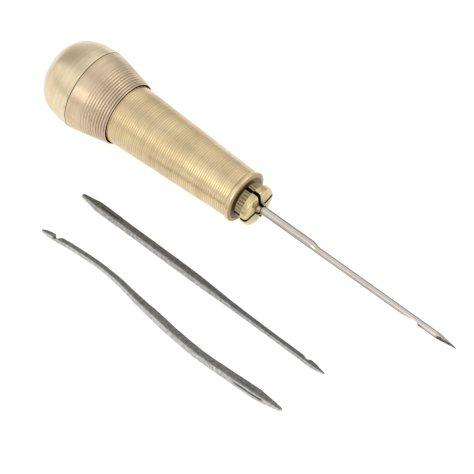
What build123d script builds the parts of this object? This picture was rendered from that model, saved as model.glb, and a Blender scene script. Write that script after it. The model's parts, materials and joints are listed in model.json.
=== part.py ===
from build123d import *
import math
import os

# Sewing awl with a draw-in collet, lying on a table beside its two spare needles.
#
# Millimetres. The pieces of the awl are drawn in the awl's own frame: +X runs along its
# axis towards the needle point, X = 0 is the joint line where the head is widest, and the
# angle of a feature round the axis is counted from the top towards -Y. The finished awl is
# then laid down on its two high circles, the head's rim and the barrel's lip.

# ---- Head -----------------------------------------------------------------------------
HEAD_R = 14.0  # widest radius, at the joint between dome and skirt
DOME_H = 15.4  # joint to the pole of the dome
DOME_FULLNESS = 0.75  # Bezier handles, as a share of the dome's height and radius
POCKET_X = -12.6  # bottom of the dome's inner pocket
POCKET_FLOOR_R = 5.0
POCKET_WALL_X = -9.0
POCKET_R = 8.4
SKIRT_L = 14.1
SKIRT_EDGE_R = 11.05
SKIRT_CROWN = 0.1  # how far the skirt's middle stands outside a straight cone
RIB_COUNT = 10
RIB_PITCH = 0.88
RIB_DEPTH = 0.2  # deepest rib, at the skirt's edge; the others fade towards the dome
MOUTH_R = 10.75
WEB_FRONT_X = 3.0  # web that turns on the barrel's journal
WEB_REAR_X = -1.0
WEB_FIT = 0.05  # radial gap to the journal
SPIGOT_R = 11.0  # threaded spigot that carries the dome
SPIGOT_L = 5.6
RING_SPACE_R = 8.1  # room round the retaining ring
RING_SPACE_L = 3.5

# ---- Barrel and the pieces fixed in it --------------------------------------------------
SHOULDER_X = 4.0
BARREL_REAR_R = 10.35
BARREL_TAPER_X = 12.0
BARREL_FRONT_R = 8.3
LIP_X = 60.6
LIP_R = 8.75
LIP_CREST_X = 61.5
FRONT_X = 62.2
FRONT_EDGE_R = 8.6
JOURNAL_R = 6.6
JOURNAL_L = 3.0  # behind X = 0
BORE_R = 5.06
RING_GROOVE_R = 5.85
RING_GROOVE_X = (-2.05, -1.05)
RING_R = (5.9, 7.8)
RING_X = (-2.0, -1.1)
RING_GAP = 5.0
WASHER_R = (6.7, 10.0)
WASHER_X = (3.05, 3.95)
BUSH_R = 7.4
BUSH_X = (53.0, 63.0)  # rear end and front edge of the seat
BUSH_FACE_X = 62.6  # where the bush meets the barrel's front face
SEAT_MOUTH_R = 6.1
SEAT_HALF_ANGLE = 8.0
KEY_R = 1.0
KEY_X = 9.0
KEY_TIP = 3.75
KEY_HEAD = 10.3

# ---- Draw rod, nut and collet -----------------------------------------------------------
ROD_R = 3.0
ROD_X = (-11.0, 20.0)
NUT_BORE_R = 3.05
NUT_FLANGE_R = 9.15
NUT_FLANGE_X = (-5.7, -3.55)
NUT_HUB_R = 5.5
NUT_HUB_X = -10.0
STEM_R = 5.0
STEM_X = (5.0, 44.0)
TAIL_BORE_DEPTH = 1.0  # the needle's tail stops here
KEYWAY_WIDTH = 2.1
KEYWAY_X = (6.4, 10.1)
KEYWAY_FLOOR = 3.6
PIN_R = 0.8
PIN_X = 16.0
PIN_LENGTH = 9.6
JAW_COUNT = 4
JAW_ROOT_X = 44.05
JAW_SPRING_R = 4.5  # thin part that flexes
JAW_CONE_X = 53.5
JAW_STEP_L = 0.2  # rear face of the cone
JAW_FIT = 0.03  # radial gap to the seat and to the needle
NECK_END_X = 65.6
RIM_R = 6.7
RIM_X = 67.2
FACE_X = 68.0
FACE_EDGE_R = 5.7
FACE_SLOPE = 0.15
EDGE_BULGE = (0.7, 0.3)  # middle of the rounded front edge, as shares from the rim to the face
NOSE_R = 1.95
NOSE_X = 69.2
NOSE_CHAMFER = 0.2
SLOT_WIDTH = 1.25
SLOT_TURN = 8.0
NECK_GROOVES = 7  # in each jaw
NECK_GROOVE_DEPTH = 0.3

# ---- Needles ----------------------------------------------------------------------------
TAIL_X = 43.5
TANG_R = 1.1  # held in the jaws
TANG_END_X = 69.25
SHANK_R = 1.3
SHANK_END_X = 88.4
SHAFT_R = 1.0
STEP_X = 91.0  # where the thinner shaft starts
SHAFT_DROP = SHANK_R - SHAFT_R  # the shaft runs flush with the shank on the throat's side
THROAT_X = (122.8, 129.3, 130.3)  # start, deepest point and barb
THROAT_DEPTH = 0.68
THROAT_BEND = (0.6, 0.12)  # share of the way to the deepest point, and height above it
THROAT_TURN = 123.0
FACET_X = 136.0
POINT_X = 143.5
POINT_R = 0.08
NEEDLE_BORE_R = TANG_R + JAW_FIT

SPARE_WIDE = 1.25  # half width of a spare's shank, at its grooves
SPARE_THIN = 0.78  # half width of a spare's blade
SPARE_TIP = 0.15
SPEAR_TIP = 0.5
STRAIGHT_L = 100.4
STRAIGHT_AT = (18.9, -26.85, -2.9)  # spear end and direction on the table
SPEAR_X = 6.4  # end of the spear taper
POINT_TAPER_X = 96.0
# (distance from the spear end, half width)
STRAIGHT_HALVES = [
    (SPEAR_X, SPARE_WIDE),
    (15.9, SPARE_WIDE),
    (16.1, 1.18),
    (44, 1.2),
    (53, 1.04),
    (60, 0.88),
    (72, SPARE_THIN),
    (POINT_TAPER_X, SPARE_THIN),
]
STRAIGHT_GROOVES_X = (7.0, 15.9)
STRAIGHT_NOTCH = [(91.4, 0.5), (92.6, -0.45), (93.6, -0.45), (94.1, 0.5)]
CURVED_L = 99.5
CURVED_AT = (18.8, -45.46, -2.93)  # hook end and direction on the table
HOOK_TAPER_X = 3.5
CURVED_SPEAR_X = 91.3
# (distance from the hook end, sideways bend, half width)
CURVED_LINE = [
    (0, 0.35, SPARE_TIP),
    (HOOK_TAPER_X, 0.8, SPARE_THIN),
    (12, 1.85, SPARE_THIN),
    (22, 2.5, 0.82),
    (32, 2.05, 0.92),
    (41, 0.8, 1.1),
    (48, 0.08, 1.2),
    (58, -0.95, 1.23),
    (69, -1.42, 1.23),
    (81, -0.88, 1.24),
    (CURVED_SPEAR_X, -0.25, SPARE_WIDE),
    (CURVED_L, 0.35, SPEAR_TIP),
]
CURVED_NOTCH = [(4.9, 0.6), (5.0, -1.0), (5.6, -1.05), (7.3, 0.6)]
CURVED_NOTCH_SHIFT = 1.0  # sideways, with the bend
GROOVE_WIDTH = 0.55
GROOVE_DEPTH = 0.45
CORNER_TURN = 42.0  # the hooks' notches are cut across the far top corner

BIG = 20.0  # longer than any cut is deep


def between(start, end, share):
    """Value that lies a share of the way from start to end."""
    return start + (end - start) * share


def turned(*edges):
    """Solid turned about X from the edges of a closed outline of (x, radius) points."""
    outline = edges[0]
    for edge in edges[1:]:
        outline = outline + edge
    return revolve(make_face(outline), Axis.X)


def tube(x_range, inner, outer):
    """Plain ring about X."""
    start, end = x_range
    corners = [(start, inner), (end, inner), (end, outer), (start, outer)]
    return turned(Polyline(*corners, close=True))


def around(turn):
    """Placement that turns a feature drawn at the top, round the axis towards -Y."""
    return Rot(turn, 0, 0)


def seat_radius(x):
    """Radius of the bush's conical seat."""
    return SEAT_MOUTH_R - (BUSH_X[1] - x) * math.tan(math.radians(SEAT_HALF_ANGLE))


def skirt_radius(x):
    """Outer radius of the skirt: a cone with a slight crown."""
    share = x / SKIRT_L
    return between(HEAD_R, SKIRT_EDGE_R, share) + 4 * SKIRT_CROWN * share * (1 - share)


# ---- Head -----------------------------------------------------------------------------
def dome_cap():
    """Hollow dome, threaded onto the skirt's spigot."""
    handle = DOME_FULLNESS
    dome = Bezier(
        (0, HEAD_R), (-handle * DOME_H, HEAD_R), (-DOME_H, handle * HEAD_R), (-DOME_H, 0)
    )
    inside = Polyline(
        (-DOME_H, 0),
        (POCKET_X, 0),
        (POCKET_X, POCKET_FLOOR_R),
        (POCKET_WALL_X, POCKET_R),
        (NUT_FLANGE_X[0], POCKET_R),
        (NUT_FLANGE_X[0], SPIGOT_R),
        (0, SPIGOT_R),
        (0, HEAD_R),
    )
    return turned(dome, inside)


def head_skirt():
    """Ribbed skirt that turns on the barrel and carries the dome and the draw nut."""
    ribs_start = SKIRT_L - RIB_COUNT * RIB_PITCH
    middle = (ribs_start / 2, skirt_radius(ribs_start / 2))
    ribs = [(ribs_start, skirt_radius(ribs_start))]
    smooth = ThreePointArc((0, HEAD_R), middle, ribs[0])
    for rib in range(RIB_COUNT):
        root_x = ribs_start + (rib + 0.5) * RIB_PITCH
        depth = RIB_DEPTH * (rib + 1) / RIB_COUNT
        ribs.append((root_x, skirt_radius(root_x) - depth))
        crest_x = ribs_start + (rib + 1) * RIB_PITCH
        ribs.append((crest_x, skirt_radius(crest_x)))
    inside = Polyline(
        ribs[-1],
        (SKIRT_L, MOUTH_R),
        (WEB_FRONT_X, MOUTH_R),
        (WEB_FRONT_X, JOURNAL_R + WEB_FIT),
        (WEB_REAR_X, JOURNAL_R + WEB_FIT),
        (WEB_REAR_X, RING_SPACE_R),
        (-RING_SPACE_L, RING_SPACE_R),
        (-RING_SPACE_L, NUT_FLANGE_R),
        (-SPIGOT_L, NUT_FLANGE_R),
        (-SPIGOT_L, SPIGOT_R),
        (0, SPIGOT_R),
        (0, HEAD_R),
    )
    return turned(smooth, Polyline(*ribs), inside)


def draw_nut():
    """Flanged nut clamped between skirt and dome; its thread pulls the rod."""
    flange = tube(NUT_FLANGE_X, NUT_BORE_R, NUT_FLANGE_R)
    hub = tube((NUT_HUB_X, NUT_FLANGE_X[0]), NUT_BORE_R, NUT_HUB_R)
    return flange + hub


# ---- Barrel and the pieces fixed in it --------------------------------------------------
def key_hole():
    """Radial cylinder at the bottom of the barrel, as long as the key pin."""
    pin = Cylinder(KEY_R, KEY_HEAD - KEY_TIP)
    return Pos(KEY_X, 0, -(KEY_HEAD + KEY_TIP) / 2) * pin


def barrel():
    """Tapered handle tube with a journal for the head and a bead at its front."""
    bead = ThreePointArc((LIP_X, BARREL_FRONT_R), (LIP_CREST_X, LIP_R), (FRONT_X, FRONT_EDGE_R))
    outside = Polyline(
        (SHOULDER_X, JOURNAL_R),
        (SHOULDER_X, BARREL_REAR_R),
        (BARREL_TAPER_X, BARREL_REAR_R),
        (LIP_X, BARREL_FRONT_R),
    )
    inside = Polyline(
        (FRONT_X, FRONT_EDGE_R),
        (BUSH_FACE_X, BUSH_R),
        (BUSH_X[0], BUSH_R),
        (BUSH_X[0], BORE_R),
        (-JOURNAL_L, BORE_R),
        (-JOURNAL_L, JOURNAL_R),
        (RING_GROOVE_X[0], JOURNAL_R),
        (RING_GROOVE_X[0], RING_GROOVE_R),
        (RING_GROOVE_X[1], RING_GROOVE_R),
        (RING_GROOVE_X[1], JOURNAL_R),
        (SHOULDER_X, JOURNAL_R),
    )
    return turned(outside, bead, inside) - key_hole()


def nose_bush():
    """Bush pressed into the barrel's front; its cone closes the jaws."""
    outline = Polyline(
        (BUSH_X[0], seat_radius(BUSH_X[0])),
        (BUSH_X[1], SEAT_MOUTH_R),
        (BUSH_FACE_X, BUSH_R),
        (BUSH_X[0], BUSH_R),
        close=True,
    )
    return turned(outline)


def retaining_ring():
    """Open snap ring that keeps the head on the journal."""
    gap = Pos(sum(RING_X) / 2, 0, RING_R[1]) * Box(BIG, RING_GAP, RING_R[1])
    return tube(RING_X, *RING_R) - gap


# ---- Draw rod and collet ----------------------------------------------------------------
def cross_pin(length):
    """Cylinder across the axis, at the place of the rod's cross pin."""
    return Pos(PIN_X, 0, 0) * Rot(90, 0, 0) * Cylinder(PIN_R, length)


def draw_rod():
    """Threaded rod between the draw nut and the collet."""
    start, end = ROD_X
    rod = turned(Polyline((start, 0), (start, ROD_R), (end, ROD_R), (end, 0), close=True))
    return rod - cross_pin(BIG)


def collet_stem():
    """Rear part of the collet, which slides in the barrel and can't turn."""
    bore_x = STEM_X[1] - TAIL_BORE_DEPTH
    outline = Polyline(
        (ROD_X[1], 0),
        (bore_x, 0),
        (bore_x, NEEDLE_BORE_R),
        (STEM_X[1], NEEDLE_BORE_R),
        (STEM_X[1], STEM_R),
        (STEM_X[0], STEM_R),
        (STEM_X[0], ROD_R),
        (ROD_X[1], ROD_R),
        close=True,
    )
    keyway_l = KEYWAY_X[1] - KEYWAY_X[0]
    keyway_depth = BIG / 2
    keyway = Box(keyway_l, KEYWAY_WIDTH, keyway_depth)
    keyway = Pos(sum(KEYWAY_X) / 2, 0, -(KEYWAY_FLOOR + keyway_depth / 2)) * keyway
    return turned(outline) - cross_pin(BIG) - keyway


def jaw_ring():
    """The four jaws as one ring, before the cross cut."""
    neck_r = SEAT_MOUTH_R - JAW_FIT
    along, inward = EDGE_BULGE
    bulge = (between(RIM_X, FACE_X, along), between(RIM_R, FACE_EDGE_R, inward))
    front_edge = ThreePointArc((RIM_X, RIM_R), bulge, (FACE_X, FACE_EDGE_R))
    rear = Polyline(
        (JAW_ROOT_X, NEEDLE_BORE_R),
        (JAW_ROOT_X, JAW_SPRING_R),
        (JAW_CONE_X - JAW_STEP_L, JAW_SPRING_R),
        (JAW_CONE_X, seat_radius(JAW_CONE_X) - JAW_FIT),
        (BUSH_X[1], neck_r),
        (NECK_END_X, neck_r),
        (NECK_END_X, RIM_R),
        (RIM_X, RIM_R),
    )
    front = Polyline(
        (FACE_X, FACE_EDGE_R),
        (FACE_X + FACE_SLOPE, NOSE_R),
        (NOSE_X, NOSE_R - NOSE_CHAMFER),
        (NOSE_X, NEEDLE_BORE_R),
        (JAW_ROOT_X, NEEDLE_BORE_R),
    )
    return turned(rear, front_edge, front)


def jaw(number):
    """One quarter of the collet, with the straight knurl on its neck."""
    length = 2 * (NOSE_X - JAW_ROOT_X)
    quarter = Box(length, BIG, BIG, align=(Align.CENTER, Align.MAX, Align.MIN))
    quarter = Pos(NOSE_X, -SLOT_WIDTH / 2, SLOT_WIDTH / 2) * quarter
    share = 360 / JAW_COUNT
    turn = SLOT_TURN + number * share
    piece = jaw_ring() & (around(turn) * quarter)
    side = NECK_GROOVE_DEPTH * math.sqrt(2)
    cutter = Rot(45, 0, 0) * Box(NECK_END_X - BUSH_X[1], side, side)
    cutter = Pos((NECK_END_X + BUSH_X[1]) / 2, 0, SEAT_MOUTH_R - JAW_FIT) * cutter
    for groove in range(NECK_GROOVES):
        piece = piece - around(turn + (groove + 1) * share / (NECK_GROOVES + 1)) * cutter
    return piece


# ---- Needles ----------------------------------------------------------------------------
def rod_along(x_range, radius, tip_radius=None, drop=0.0):
    """Round rod or cone along X; drop moves its axis towards the throat's side."""
    start, end = x_range
    tip = radius if tip_radius is None else tip_radius
    profile = Polyline((start, 0), (start, radius), (end, tip), (end, 0), close=True)
    return Pos(0, drop, 0) * turned(profile)


def throat():
    """Prism that cuts the needle's throat: a smooth hollow that ends in a barb."""
    start, deepest, barb = THROAT_X
    floor = SHANK_R - THROAT_DEPTH
    along, rise = THROAT_BEND
    bend = (between(start, deepest, along), floor + rise)
    hollow = ThreePointArc((start, SHANK_R), bend, (deepest, floor))
    rest = Polyline(
        (deepest, floor), (barb, SHANK_R), (barb, 2 * SHANK_R), (start, 2 * SHANK_R), (start, SHANK_R)
    )
    return extrude(make_face(hollow + rest), BIG, both=True)


def needle():
    """Hook needle: tang, round shank, stepped shaft, throat, barb and point."""
    shank_end = Plane.YZ.offset(SHANK_END_X) * Circle(SHANK_R)
    shaft_start = Plane.YZ.offset(STEP_X) * Pos(0, SHAFT_DROP) * Circle(SHAFT_R)
    body = rod_along((TAIL_X, TANG_END_X), TANG_R)
    body = body + rod_along((TANG_END_X, SHANK_END_X), SHANK_R)
    body = body + loft([shank_end, shaft_start])
    body = body + rod_along((STEP_X, FACET_X), SHAFT_R, drop=SHAFT_DROP)
    body = body + rod_along((FACET_X, POINT_X), SHAFT_R, POINT_R, drop=SHAFT_DROP)
    return around(THROAT_TURN - 90) * Rot(180, 0, 0) * (body - throat())


def forged_bar(upper, lower, top, bottom):
    """Bar that fills both its plan outline (upper, lower) and its side outline (top, bottom)."""
    plan_ends = Line(upper @ 0, lower @ 0) + Line(upper @ 1, lower @ 1)
    plan = extrude(make_face(upper + lower + plan_ends), BIG, both=True)
    side_ends = Line(top @ 0, bottom @ 0) + Line(top @ 1, bottom @ 1)
    side = Plane.XZ * make_face(top + bottom + side_ends)
    return plan & extrude(side, BIG, both=True)


def long_grooves(x_range):
    """Two grooves along a spare's shank, one in its top and one in its side at -Y."""
    start, end = x_range
    middle, length = (start + end) / 2, end - start
    top = Pos(middle, 0, 2 * SPARE_WIDE) * Box(length, GROOVE_WIDTH, 2 * GROOVE_DEPTH)
    side = Pos(middle, -SPARE_WIDE, SPARE_WIDE) * Box(length, 2 * GROOVE_DEPTH, GROOVE_WIDTH)
    return top + side


def notch(corners):
    """Prism across a blade's far top corner; corners are (x, height above the corner)."""
    prism = extrude(make_face(Polyline(*corners, close=True)), BIG, both=True)
    upright = Pos(0, 0, SPARE_THIN) * Rot(90, 0, 0) * prism
    return Pos(0, 0, SPARE_THIN) * Rot(-CORNER_TURN, 0, 0) * upright


def spare_needle_straight():
    """Forged spare: spear-ended shank at X = 0, blade that tapers to a hook point."""
    halves = [(0, SPEAR_TIP), *STRAIGHT_HALVES, (STRAIGHT_L, SPARE_TIP)]
    upper = Polyline(*halves)
    lower = Polyline(*[(x, -half) for x, half in halves])
    crest = [(x, 2 * half) for x, half in STRAIGHT_HALVES]
    top = Polyline((0, SPARE_WIDE + SPEAR_TIP), *crest, (STRAIGHT_L, SPARE_THIN + SPARE_TIP))
    bottom = Polyline(
        (0, SPARE_WIDE - SPEAR_TIP),
        (SPEAR_X, 0),
        (POINT_TAPER_X, 0),
        (STRAIGHT_L, SPARE_THIN - SPARE_TIP),
    )
    piece = forged_bar(upper, lower, top, bottom)
    return piece - long_grooves(STRAIGHT_GROOVES_X) - notch(STRAIGHT_NOTCH)


def spare_needle_curved():
    """Forged spare with a double bend: hook at X = 0, spear-ended shank at the far end."""
    upper = Spline(*[(x, bend + half) for x, bend, half in CURVED_LINE])
    lower = Spline(*[(x, bend - half) for x, bend, half in CURVED_LINE])
    crest = [(x, 2 * half) for x, bend, half in CURVED_LINE[1:-1]]
    top = Polyline((0, SPARE_THIN + SPARE_TIP), *crest, (CURVED_L, SPARE_WIDE + SPEAR_TIP))
    bottom = Polyline(
        (0, SPARE_THIN - SPARE_TIP),
        (HOOK_TAPER_X, 0),
        (CURVED_SPEAR_X, 0),
        (CURVED_L, SPARE_WIDE - SPEAR_TIP),
    )
    piece = forged_bar(upper, lower, top, bottom)
    return piece - Pos(0, CURVED_NOTCH_SHIFT, 0) * notch(CURVED_NOTCH)


# ---- Assembly ---------------------------------------------------------------------------
def awl_pieces():
    """Every piece of the awl, in the awl's own frame."""
    pieces = {
        "dome_cap": dome_cap(),
        "head_skirt": head_skirt(),
        "draw_nut": draw_nut(),
        "thrust_washer": tube(WASHER_X, *WASHER_R),
        "retaining_ring": retaining_ring(),
        "barrel": barrel(),
        "nose_bush": nose_bush(),
        "key_pin": key_hole(),
        "draw_rod": draw_rod(),
        "rod_pin": cross_pin(PIN_LENGTH),
        "collet_stem": collet_stem(),
        "needle": needle(),
    }
    for number in range(JAW_COUNT):
        pieces[f"jaw_{number + 1}"] = jaw(number)
    return pieces


def on_table(at, piece):
    """Lay a spare down at (x, y, direction)."""
    x, y, direction = at
    return Pos(x, y, 0) * Rot(0, 0, direction) * piece


def awl_place():
    """Lay the awl down on the head's rim and the barrel's lip."""
    slope = math.degrees(math.atan((HEAD_R - LIP_R) / LIP_CREST_X))
    height = HEAD_R * math.cos(math.radians(slope))
    return Pos(0, 0, height) * Rot(0, slope, 0)


def assembly():
    """All pieces at rest, with the origin under the middle of the whole set."""
    place = awl_place()
    placed = {name: place * piece for name, piece in awl_pieces().items()}
    placed["spare_needle_straight"] = on_table(STRAIGHT_AT, spare_needle_straight())
    placed["spare_needle_curved"] = on_table(CURVED_AT, spare_needle_curved())
    boxes = [piece.bounding_box() for piece in placed.values()]
    middle_x = (min(box.min.X for box in boxes) + max(box.max.X for box in boxes)) / 2
    middle_y = (min(box.min.Y for box in boxes) + max(box.max.Y for box in boxes)) / 2
    shift = Pos(-middle_x, -middle_y, -min(box.min.Z for box in boxes))
    return {name: shift * piece for name, piece in placed.items()}


if __name__ == "__main__":
    os.makedirs("parts", exist_ok=True)
    for name, piece in assembly().items():
        export_step(piece, f"parts/{name}.step")
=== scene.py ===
import json
import math
from collections import namedtuple
from contextlib import contextmanager

import bmesh
import bpy
from bpy.props import FloatProperty, FloatVectorProperty, IntProperty, PointerProperty
from mathutils import Matrix, Vector


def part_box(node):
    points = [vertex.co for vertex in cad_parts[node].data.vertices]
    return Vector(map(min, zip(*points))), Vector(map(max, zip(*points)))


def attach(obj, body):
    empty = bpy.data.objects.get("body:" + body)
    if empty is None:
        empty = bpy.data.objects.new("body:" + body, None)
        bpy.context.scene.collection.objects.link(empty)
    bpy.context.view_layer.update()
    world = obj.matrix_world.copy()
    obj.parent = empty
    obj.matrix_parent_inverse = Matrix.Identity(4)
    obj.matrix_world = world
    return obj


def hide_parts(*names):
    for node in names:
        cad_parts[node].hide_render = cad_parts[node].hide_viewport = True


# Brass sewing awl with a draw-in chuck, its hook needle and two forged spare needles.
#
# The awl's own frame has X along its axis towards the needle's point, X = 0 at the joint
# between dome and skirt, and Z up. Angles round the axis are counted from the top towards -Y.
# A spare's own frame has X along it from its left end, and Z up from the table.
# Outlines are written in millimetres and scaled when a mesh is made.

bl_info = {
    "name": "Sewing awl",
    "version": (1, 0, 0),
    "blender": (4, 5, 0),
    "location": "View3D > Sidebar > Awl",
    "description": "Builds a brass sewing awl with its chuck, hook needle and two spare needles",
    "category": "Object",
}

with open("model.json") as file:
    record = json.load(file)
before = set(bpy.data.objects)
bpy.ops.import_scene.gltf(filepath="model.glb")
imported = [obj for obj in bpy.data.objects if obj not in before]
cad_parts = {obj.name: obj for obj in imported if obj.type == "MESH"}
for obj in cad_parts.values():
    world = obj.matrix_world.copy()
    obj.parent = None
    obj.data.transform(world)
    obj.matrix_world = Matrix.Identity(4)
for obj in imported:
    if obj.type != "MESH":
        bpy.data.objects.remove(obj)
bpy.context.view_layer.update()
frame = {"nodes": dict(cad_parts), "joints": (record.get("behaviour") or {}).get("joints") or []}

MM = 0.001
TAU = 2 * math.pi
MERGE = 0.000004  # points closer than this become one, in metres
NEAR = 0.001  # two places along the axis closer than this count as one, in mm
SHARP_ANGLE = math.radians(38)
CONE_ANGLE = math.radians(8)  # slope of the cone that closes the jaws
CONE_MOUTH = 6.1  # its radius at the bush's front, in mm
SHELL_R = 11.0  # inner radius at the joint between dome and skirt, in mm


# ---- Places, read from the frame ----------------------------------------------------------
def awl_place():
    """Matrix from the awl's own frame to the table's, both in metres."""
    turn = next(joint for joint in frame["joints"] if joint["name"] == "head_turn")
    along = -Vector(turn["axis"]).normalized()
    across = Vector((0, 1, 0))
    rotation = Matrix((along, across, along.cross(across))).transposed().to_4x4()
    return Matrix.Translation(turn["pos_m"]) @ rotation


AWL = awl_place()


def span(node):
    """First X, last X and greatest radius of a CAD node in the awl's own frame, in mm."""
    back = AWL.inverted()
    points = [back @ vertex.co / MM for vertex in frame["nodes"][node].data.vertices]
    reach = max(math.hypot(point.y, point.z) for point in points)
    return min(point.x for point in points), max(point.x for point in points), reach


def spare_place(node, bend):
    """Matrix from a spare needle's own frame to the table's, and its length in mm.

    Both end faces stand the same distance, bend, to the left of the frame's X axis.
    """
    low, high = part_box(node)
    points = [vertex.co for vertex in frame["nodes"][node].data.vertices]
    near = 0.3 * MM

    def end(x):
        face = [point for point in points if abs(point.x - x) < near]
        return sum(face, Vector()) / len(face)

    start, finish = end(low.x), end(high.x)
    along = Vector((finish.x - start.x, finish.y - start.y, 0))
    length = along.length
    along.normalize()
    up = Vector((0, 0, 1))
    across = up.cross(along)
    origin = Vector((start.x, start.y, low.z)) - across * bend * MM
    rotation = Matrix((along, across, up)).transposed().to_4x4()
    return Matrix.Translation(origin) @ rotation, length / MM


CURVED_END_BEND = 0.35
STRAIGHT, STRAIGHT_L = spare_place("spare_needle_straight", 0.0)
CURVED, CURVED_L = spare_place("spare_needle_curved", CURVED_END_BEND)

DOME_REAR, _, HEAD_R = span("dome_cap")
_, SKIRT_L, _ = span("head_skirt")
BARREL_REAR, BUSH_FACE_X, BARREL_R = span("barrel")
BUSH_REAR, BUSH_FRONT, BUSH_R = span("nose_bush")
JAW_REAR, NOSE_X, RIM_R = span("jaw_1")
TAIL_X, POINT_X, SHANK_R = span("needle")


# ---- Settings -----------------------------------------------------------------------------
def size(name, description, default, low=0.0):
    """Length in millimetres."""
    return FloatProperty(name=name, description=description, default=default, min=low, precision=3)


def count(name, description, default, low=3):
    """Whole number."""
    return IntProperty(name=name, description=description, default=default, min=low)


def share(name, description, default):
    """Number between 0 and 1."""
    return FloatProperty(
        name=name, description=description, default=default, min=0, max=1, subtype="FACTOR"
    )


def colour(name, description, default):
    """Colour of a finish."""
    return FloatVectorProperty(
        name=name, description=description, default=default, size=3, min=0, max=1, subtype="COLOR"
    )


def angle(name, description, degrees):
    """Angle, given in degrees."""
    return FloatProperty(
        name=name, description=description, default=math.radians(degrees), subtype="ANGLE"
    )


class AwlHeadSettings(bpy.types.PropertyGroup):
    """Domed head and its ribbed skirt."""

    fullness: share("Fullness", "How square the dome's shoulder is", 0.75)
    skirt_edge: size("Skirt edge radius", "Outer radius of the skirt's front edge, in mm", 11.05)
    rib_count: count("Ribs", "Ribs turned on the skirt", 10)
    rib_pitch: size("Rib pitch", "Distance between ribs, in mm", 0.88, 0.3)
    rib_depth: size("Rib depth", "Depth of the front rib, in mm", 0.28)
    dome_colour: colour("Dome", "Colour of the dome's brass", (0.76, 0.64, 0.44))
    skirt_colour: colour("Skirt", "Colour of the skirt's brass", (0.66, 0.515, 0.355))


class AwlBarrelSettings(bpy.types.PropertyGroup):
    """Tapered barrel and the bush in its front."""

    front_radius: size("Front radius", "Radius behind the front bead, in mm", 8.3)
    ring_pitch: size("Ring pitch", "Distance between the fine turned rings, in mm", 0.76, 0.3)
    ring_depth: size("Ring depth", "Depth of the fine turned rings, in mm", 0.04)
    barrel_colour: colour("Barrel", "Colour of the barrel's brass", (0.79, 0.625, 0.375))
    # The bush's colour is painted shade: near black brass stands in for the dark reflection inside the
    # barrel's mouth.
    bush_shade_colour: colour("Bush", "Colour of the bush's brass", (0.17, 0.12, 0.06))


class AwlChuckSettings(bpy.types.PropertyGroup):
    """Four jaws that grip the needle."""

    slot_width: size("Slot width", "Width of the cross slots, in mm", 1.25)
    slot_turn: angle("Slot turn", "Angle of the first slot from the top", 8)
    ridges: count("Ridges", "Ridges of the straight knurl round the neck", 32)
    ridge_depth: size("Ridge depth", "Depth of the knurl, in mm", 0.32)
    jaw_colour: colour("Jaws", "Colour of the jaws' brass", (0.70, 0.58, 0.32))


class AwlNeedleSettings(bpy.types.PropertyGroup):
    """Hook needle held in the chuck."""

    shaft_radius: size("Shaft radius", "Radius of the thinner shaft, in mm", 1.0)
    throat_depth: size("Throat depth", "Depth of the throat, in mm", 0.7)
    throat_turn: angle("Throat turn", "Angle of the throat from the top", 123)
    steel_colour: colour("Steel", "Colour of the plated steel", (0.62, 0.585, 0.54))


class AwlSpareSettings(bpy.types.PropertyGroup):
    """Two forged spare needles."""

    dent_depth: size("Dents", "Depth of the forging dents, in mm", 0.06)
    dent_seed: count("Dent seed", "Seed of the forging dents", 4, 0)
    groove_depth: size("Groove depth", "Depth of the long grooves, in mm", 0.5)
    steel_colour: colour("Steel", "Colour of the forged steel", (0.35, 0.346, 0.34))


class AwlStageSettings(bpy.types.PropertyGroup):
    """Table, light and camera."""

    azimuth: angle("Azimuth", "Direction of the camera round the object", 40.445)
    elevation: angle("Elevation", "Height of the camera above the horizon", 49.459)
    distance: FloatProperty(
        name="Distance",
        description="Distance from the camera to the table",
        default=0.68364,
        unit="LENGTH",
        subtype="DISTANCE",
    )
    focal_length: FloatProperty(
        name="Focal length",
        description="Focal length of the camera's lens",
        default=170,
        unit="CAMERA",
    )
    aim: FloatVectorProperty(
        name="Aim",
        description="Point of the table in the middle of the picture",
        default=(0.00182, 0.01079, 0.0),
        size=3,
        subtype="TRANSLATION",
    )
    table_colour: colour("Table", "Colour of the table", (0.32, 0.32, 0.32))


# ---- Node helpers -------------------------------------------------------------------------
def new_group(name, kind, inputs, outputs):
    """Node group with named sockets; returns it with its input and output sockets."""
    tree = bpy.data.node_groups.new(name, kind)
    for label, socket_type, value in inputs:
        socket = tree.interface.new_socket(label, in_out="INPUT", socket_type=socket_type)
        if value is not None:
            socket.default_value = value
    for label, socket_type in outputs:
        tree.interface.new_socket(label, in_out="OUTPUT", socket_type=socket_type)
    return tree, tree.nodes.new("NodeGroupInput").outputs, tree.nodes.new("NodeGroupOutput").inputs


def node(tree, kind, inputs=None, **settings):
    """Add a node, set its properties, and link or set its inputs by name or number."""
    made = tree.nodes.new(kind)
    for key, value in settings.items():
        setattr(made, key, value)
    for key, value in (inputs or {}).items():
        join(tree, made.inputs[key], value)
    return made


def join(tree, socket, value):
    """Link a socket to another node's output, or set its value."""
    if isinstance(value, bpy.types.NodeSocket):
        tree.links.new(value, socket)
    else:
        socket.default_value = value


def maths(tree, operation, first, second=None, clamp=False):
    """Output of a Math node."""
    inputs = {0: first} if second is None else {0: first, 1: second}
    return node(tree, "ShaderNodeMath", inputs, operation=operation, use_clamp=clamp).outputs[0]


def times(tree, first, second, clamp=False):
    """First times second."""
    return maths(tree, "MULTIPLY", first, second, clamp)


def plus(tree, first, second):
    """First plus second."""
    return maths(tree, "ADD", first, second)


def minus(tree, first, second, clamp=False):
    """First minus second."""
    return maths(tree, "SUBTRACT", first, second, clamp)


def divided(tree, first, second):
    """First divided by second."""
    return maths(tree, "DIVIDE", first, second)


def raised(tree, first, second):
    """First raised to the power of second."""
    return maths(tree, "POWER", first, second)


def split(tree, vector):
    """X, Y and Z of a vector."""
    return node(tree, "ShaderNodeSeparateXYZ", {0: vector}).outputs


def combined(tree, x, y, z):
    """Vector of the given X, Y and Z."""
    return node(tree, "ShaderNodeCombineXYZ", {0: x, 1: y, 2: z}).outputs[0]


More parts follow.
